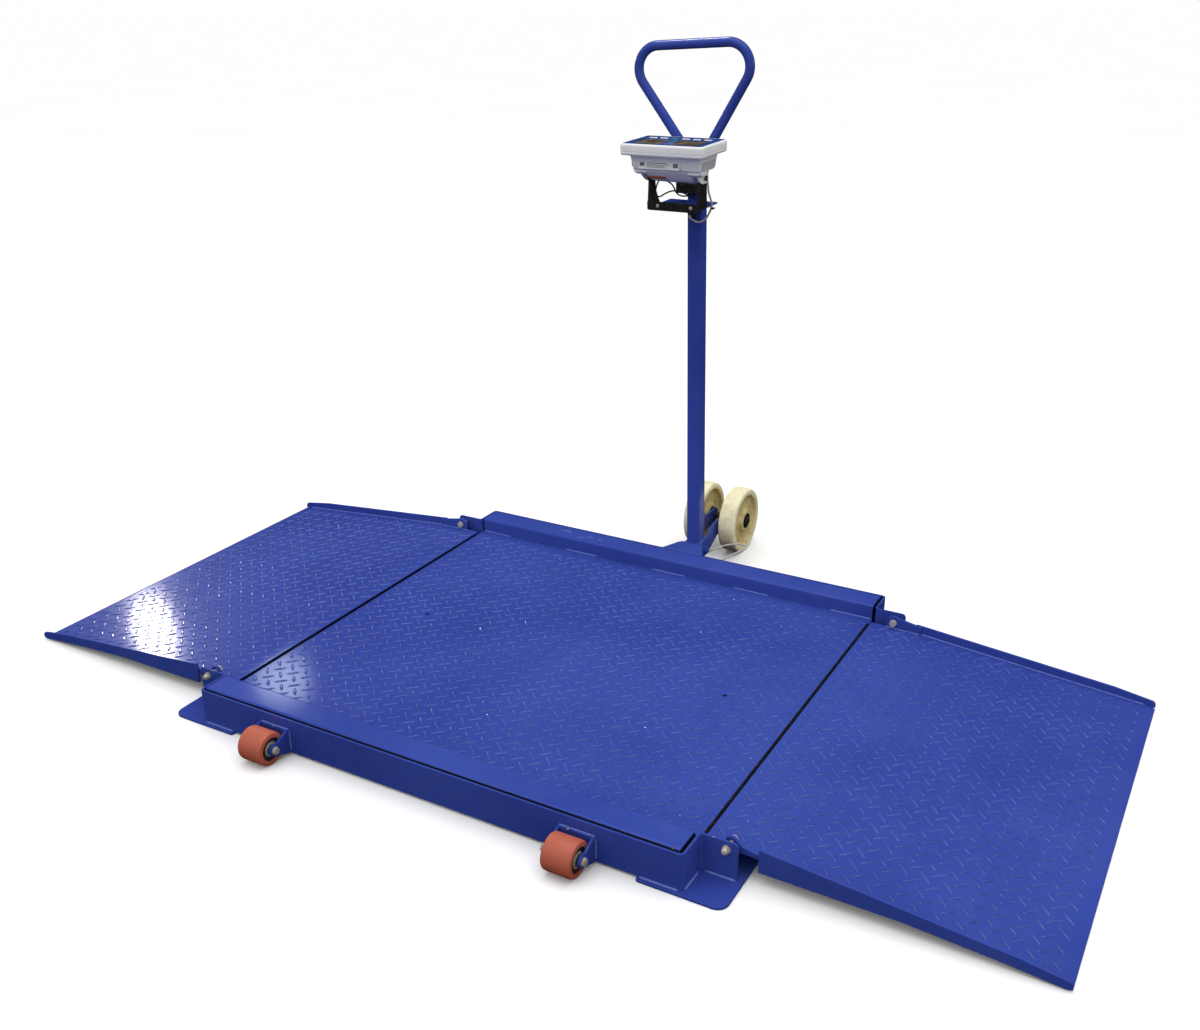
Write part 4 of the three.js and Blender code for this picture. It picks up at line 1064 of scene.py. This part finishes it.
def add_indicator():
    top, front, back = CASE["top"], -198, -128
    piece("indicator_case", housing_shape(), LEVER, "indicator", ABS, ["indicator_housing"], 0.5)
    piece("panel_film", film_sheet(top), LEVER, "indicator", FILM, ["indicator_panel"])
    frames, windows = [], []
    for x0, x1 in ((-86, -7), (13, 90)):
        windows.append(prism(rectangle(x0, x1, front, back, 2.5), top - 0.4, top + 0.12, "Z"))
        frames.append(loft([lifted(rectangle(x0 - g, x1 + g, front - g, back + g, 3.5), top + rise, "Z")
                            for g, rise in ((2, -0.2), (1.5, 0.25), (0.7, 0.25), (0.2, -0.2))], looped=True))
    piece("display_windows", merged(*windows), LEVER, "indicator", GLASS)
    piece("display_borders", merged(*frames), LEVER, "indicator", BORDER_BLACK)
    stripe = prism(rectangle(-3, 9, front, back, 2), top - 0.3, top + 0.05, "Z")
    line = prism(rectangle(-104, 104, -119.6, -118.4, 0.3, 1), top - 0.3, top + 0.04, "Z")
    piece("panel_stripe", merged(stripe, line), LEVER, "indicator", STRIPE)


def add_keys():
    for i, x in enumerate(KEY_CENTRES):
        rings = []
        for inset, rise in ((0, -2.2), (0, 0.3), (0.3, 0.8), (0.9, 1), (1.6, 0.86), (3, 0.8)):
            across, along, y = KEY["half_x"] - inset, KEY["half_y"] - inset, KEY["y"]
            outline = rectangle(x - across, x + across, y - along, y + along, max(2 - inset, 0.5), 4)
            rings.append(lifted(outline, CASE["top"] + rise, "Z"))
        piece(f"key_cap_{i + 1}", loft(rings), LEVER, f"key_{i + 1}", KEY_GREEN if i == 2 else KEY_WHITE,
              [f"panel_key_{i + 1}"])


def add_label():
    """A plain pale label on the housing's front, with grey blocks and no lettering."""
    upright = LEVER @ Matrix.Translation((-17, -190.4, 1157.5)) @ about("X", -atan(0.2))
    sheet = prism(rectangle(-58, 58, -13, 13, 1.5), -0.25, 0.05, "Y")
    piece("plain_label", sheet, upright, "indicator", LABEL, bevel=0.08)
    marks = [(-54, -41, -6, 7), (40, 54, -7, 8), (-34, 6, 5.4, 7), (-34, 24, 1.2, 3.6),
             (-34, 30, -2.6, -1.4), (-34, 16, -5.6, -4.4), (-34, 22, -8.6, -7.4)]
    blocks = [prism(rectangle(*mark, 0.5, 2), -0.34, -0.2, "Y") for mark in marks]
    piece("label_blocks", merged(*blocks), upright, "indicator", LABEL_INK)


def add_side_shade_and_amber():
    """Darker grey sheets on the housing's sides, painted shade where the side faces are recessed, and the
    amber seal on its keel.
    """
    inset = rounded([(-182, 1168, 7), (-181, 1146, 6), (-103, 1146, 4), (-101, 1170, 4)], 6)
    shade_patches = [loft([lifted(inset, side * x, "X") for x in (96.5, 99.5)]) for side in SIGNS]
    piece("side_painted_shade", merged(*shade_patches), LEVER, "indicator", SHADE, bevel=0.3)
    amber = loft([case_ring(z, 26 - g, g + d - 166, d - 152, 3)
                  for g, d, z in ((0.8, -3, 1122), (0, -1, 1119.5), (0, 3, 1114), (1.2, 5, 1111.6))])
    piece("amber_seal", moved(amber, -35, 1, 3.5), LEVER, "indicator", AMBER, bevel=0.3)


def add_knob(name, side):
    """A star knob with rounded lobes and a domed end, on a stud that enters the housing."""
    half = BRACKET["half_x"] + 0.4
    rings = []
    for out, grow in ((2.9, -1.2), (3.3, -0.3), (4, 0), (7, 0), (8.3, -0.5), (9, -1.6), (9.3, -3)):
        ring = []
        for angle in full_turn(72):
            radius = 6.2 + grow + 0.7 * cos(6 * angle)
            ring.append((side * (half + out), radius * cos(angle), radius * sin(angle)))
        rings.append(ring)
    stud = lathe([(4, 69.5), (4, half + 4)], 24, closed=False)
    knob = moved(merged(loft(rings), facing(stud, side)), 0, KNOB_Y, BRACKET["knob"])
    piece(f"{name}_star_knob", knob, LEVER, f"{name}_knob", BLACK, [f"{name}_clamp_knob"], 0.3)
    ring = washer(4.2, 7.6, 0, 1, (0.2, 0.3, 0.3, 0.2), 3)
    cap = spin([(0.4, 6.2, 0), (4.4, 6.2, 0.2), (4.2, 7.8, 0.8), (0.4, 8.4, 0)], 4, 32, closed=False)
    shape = moved(facing(merged(ring, cap), side), side * (half + 1.8), KNOB_Y, BRACKET["knob"])
    piece(f"{name}_knob_washer", shape, LEVER, f"{name}_knob", ZINC)


add_indicator()
add_keys()
add_label()
add_side_shade_and_amber()
for name, end in ENDS:
    add_knob(name, end)


# ---- small things that use leaves behind
def chip(x, y, z, size, normal, seed):
    """A flake of bare primer lying on a face, as a thin uneven patch."""
    draw = random.Random(seed)
    outline = []
    for angle in full_turn(9):
        radius = size * draw.uniform(0.45, 1)
        outline.append((radius * cos(angle), 0.6 * radius * sin(angle)))
    turn = Vector((0, 0, 1)).rotation_difference(Vector(normal)).to_matrix()
    return moved(turned(prism(outline, -0.3, 0.12, "Z"), turn), x, y, z)


def smear(x, y, length, angle):
    outline = [(-length / 2, -0.3), (-length / 6, -1.1), (length / 3, -0.8), (length / 2, 0.2),
               (length / 4, 1), (-length / 4, 0.7)]
    turn = about("Z", radians(angle))
    return moved(turned(prism(outline, -0.3, 0.08, "Z"), turn), x, y, 96)


def add_wear():
    up = (0, 0, 1)
    chips = [chip(613, -620.4, 93.5, 3.4, (0, -1, 0.6), 1), chip(666, -546, 92.7, 3.2, up, 2),
             chip(-680, -546, 92.7, 3.6, up, 5), chip(-404, -633, 67.2, 4, up, 3),
             chip(386, -633, 67.2, 5, up, 4)]
    piece("base_paint_chips", merged(*chips), DECK, "base", PRIMER)
    piece("left_ramp_paint_chips", chip(-1240, 526, 34, 3, up, 6), DECK, "left_ramp", PRIMER)
    scuffs = [smear(-352, 590, 34, 12), smear(-338, 584, 22, -8), smear(-290, 568, 30, 20),
              smear(-262, 580, 26, 4), smear(-228, 578, 20, -14)]
    piece("cover_scuffs", merged(*scuffs), DECK, "base", SCUFF)


def add_cable_tie():
    """A tie round the head cable where it turns up, with its small lock and a cut tail."""
    knot = DECK @ Vector(TIE_PLACE)
    at_tie = min(range(len(HEAD_ROUTE)), key=lambda i: (HEAD_ROUTE[i] - knot).length)
    along = (HEAD_ROUTE[at_tie + 1] - HEAD_ROUTE[at_tie - 1]).normalized()
    side = Vector((1, 0, 0))
    side = (side - along * side.dot(along)).normalized()
    basis = Matrix((along, side, along.cross(side))).transposed().to_4x4()
    band = washer(2.7, 3.6, -1.3, 1.3, (0.2, 0.3, 0.3, 0.2), 2, 32)
    lock = prism(rectangle(3, 7.2, -2.4, 2.4, 0.8, 3), -2.4, 2.4, "X")
    tail = prism(rounded([(5, 1, 0.4), (6.2, 1, 0.4), (9.6, 6.4, 0.4), (8.7, 7, 0.4)], 3), -1.2, 1.2, "X")
    place = Matrix.Translation(HEAD_ROUTE[at_tie]) @ basis @ Matrix.Scale(MM, 4)
    piece("cable_tie", merged(band, lock, tail), place, "lever", BLACK, bevel=0.25)


add_wear()
add_cable_tie()


# ---- floor, sky and lamps
def add_floor():
    size = 3000
    mesh = bpy.data.meshes.new("studio_floor")
    mesh.from_pydata([(-size, -size, 0), (size, -size, 0), (size, size, 0), (-size, size, 0)], [],
                     [(0, 1, 2, 3)])
    floor = new_object("studio_floor", mesh)
    look = Look("studio_floor")
    white = look.mix(look.noise(0.6, 2), (0.965, 0.965, 0.965), (0.985, 0.985, 0.985))
    look.set(Base_Color=white, Roughness=0.9, Specular_IOR_Level=0)
    mesh.materials.append(look.material)
    floor.visible_glossy = False
    floor.visible_diffuse = False


def add_sky():
    """White above the horizon and dark under it, so that upright and overhanging faces stay deep."""
    world = bpy.data.worlds.new("studio_sky")
    world.use_nodes = True
    tree = world.node_tree
    split = tree.nodes.new("ShaderNodeSeparateXYZ")
    tree.links.new(tree.nodes.new("ShaderNodeTexCoord").outputs["Generated"], split.inputs[0])
    level = tree.nodes.new("ShaderNodeMapRange")
    for name, number in (("From Min", -0.08), ("From Max", -0.04), ("To Min", 0.02), ("To Max", 1.02)):
        level.inputs[name].default_value = number
    tree.links.new(split.outputs["Z"], level.inputs["Value"])
    tree.links.new(level.outputs["Result"], tree.nodes["Background"].inputs["Strength"])
    tree.nodes["Background"].inputs["Color"].default_value = (1, 1, 1, 1)
    world.cycles_visibility.glossy = False
    bpy.context.scene.world = world


def add_lamp(name, position, target, size, radiance, shape="RECTANGLE", colour=(1, 1, 1)):
    """An area lamp of a given radiance, in the frame's metres, facing a target."""
    data = bpy.data.lights.new(name, "AREA")
    data.shape = shape
    data.size, data.size_y = size
    area = size[0] * size[1] * (pi / 4 if shape == "ELLIPSE" else 1)
    data.energy = radiance * pi * area
    data.color = colour
    lamp = new_object(name, data)
    lamp.location = position
    lamp.rotation_euler = (Vector(target) - Vector(position)).to_track_quat("-Z", "Y").to_euler()
    lamp.visible_camera = False
    return lamp


def add_far_lamp(name, spot, direction, size, radiance, colour):
    """A small round lamp seven metres from a spot on the plates, for a highlight there."""
    target = DECK @ Vector(spot)
    add_lamp(name, target + 7 * Vector(direction), target, (size, size), radiance, "ELLIPSE", colour)


def add_lamps():
    """Large dim panels for the sheen, two far lamps for highlights, and one that lights only the handle."""
    add_far_lamp("ramp_lamp", (-1067, -393, 30), (-0.774, 0.553, 0.31), 0.24, 200, (1, 0.95, 0.93))
    add_far_lamp("deck_lamp", (-535, -455, 55), (-0.63, 0.6, 0.49), 0.42, 9, (0.86, 0.95, 1))
    add_lamp("overhead", (0.2, -0.3, 4.2), (0, 0, 0), (4.5, 3.5), 1.2)
    add_lamp("front_panel", (2.4, -4.4, 2.2), (0, 0, 0.4), (3, 2.2), 0.15)
    add_lamp("left_panel", (-5, -1, 2.4), (0, 0, 0.4), (2.6, 2.2), 0.25)
    add_lamp("right_panel", (5, 1.5, 2.2), (0, 0, 0.5), (2.6, 2.2), 0.35)
    glint = add_lamp("handle_glint", (-1.3, 1.3, 4.1), (0, 0.6, 1.4), (1.2, 0.5), 26)
    glint.visible_diffuse = False
    lit = bpy.data.collections.new("handle_only")
    lit.objects.link(bpy.data.objects["handle_loop"])
    glint.light_linking.receiver_collection = lit


add_floor()
add_sky()
add_lamps()
bpy.context.scene.view_settings.view_transform = "Standard"
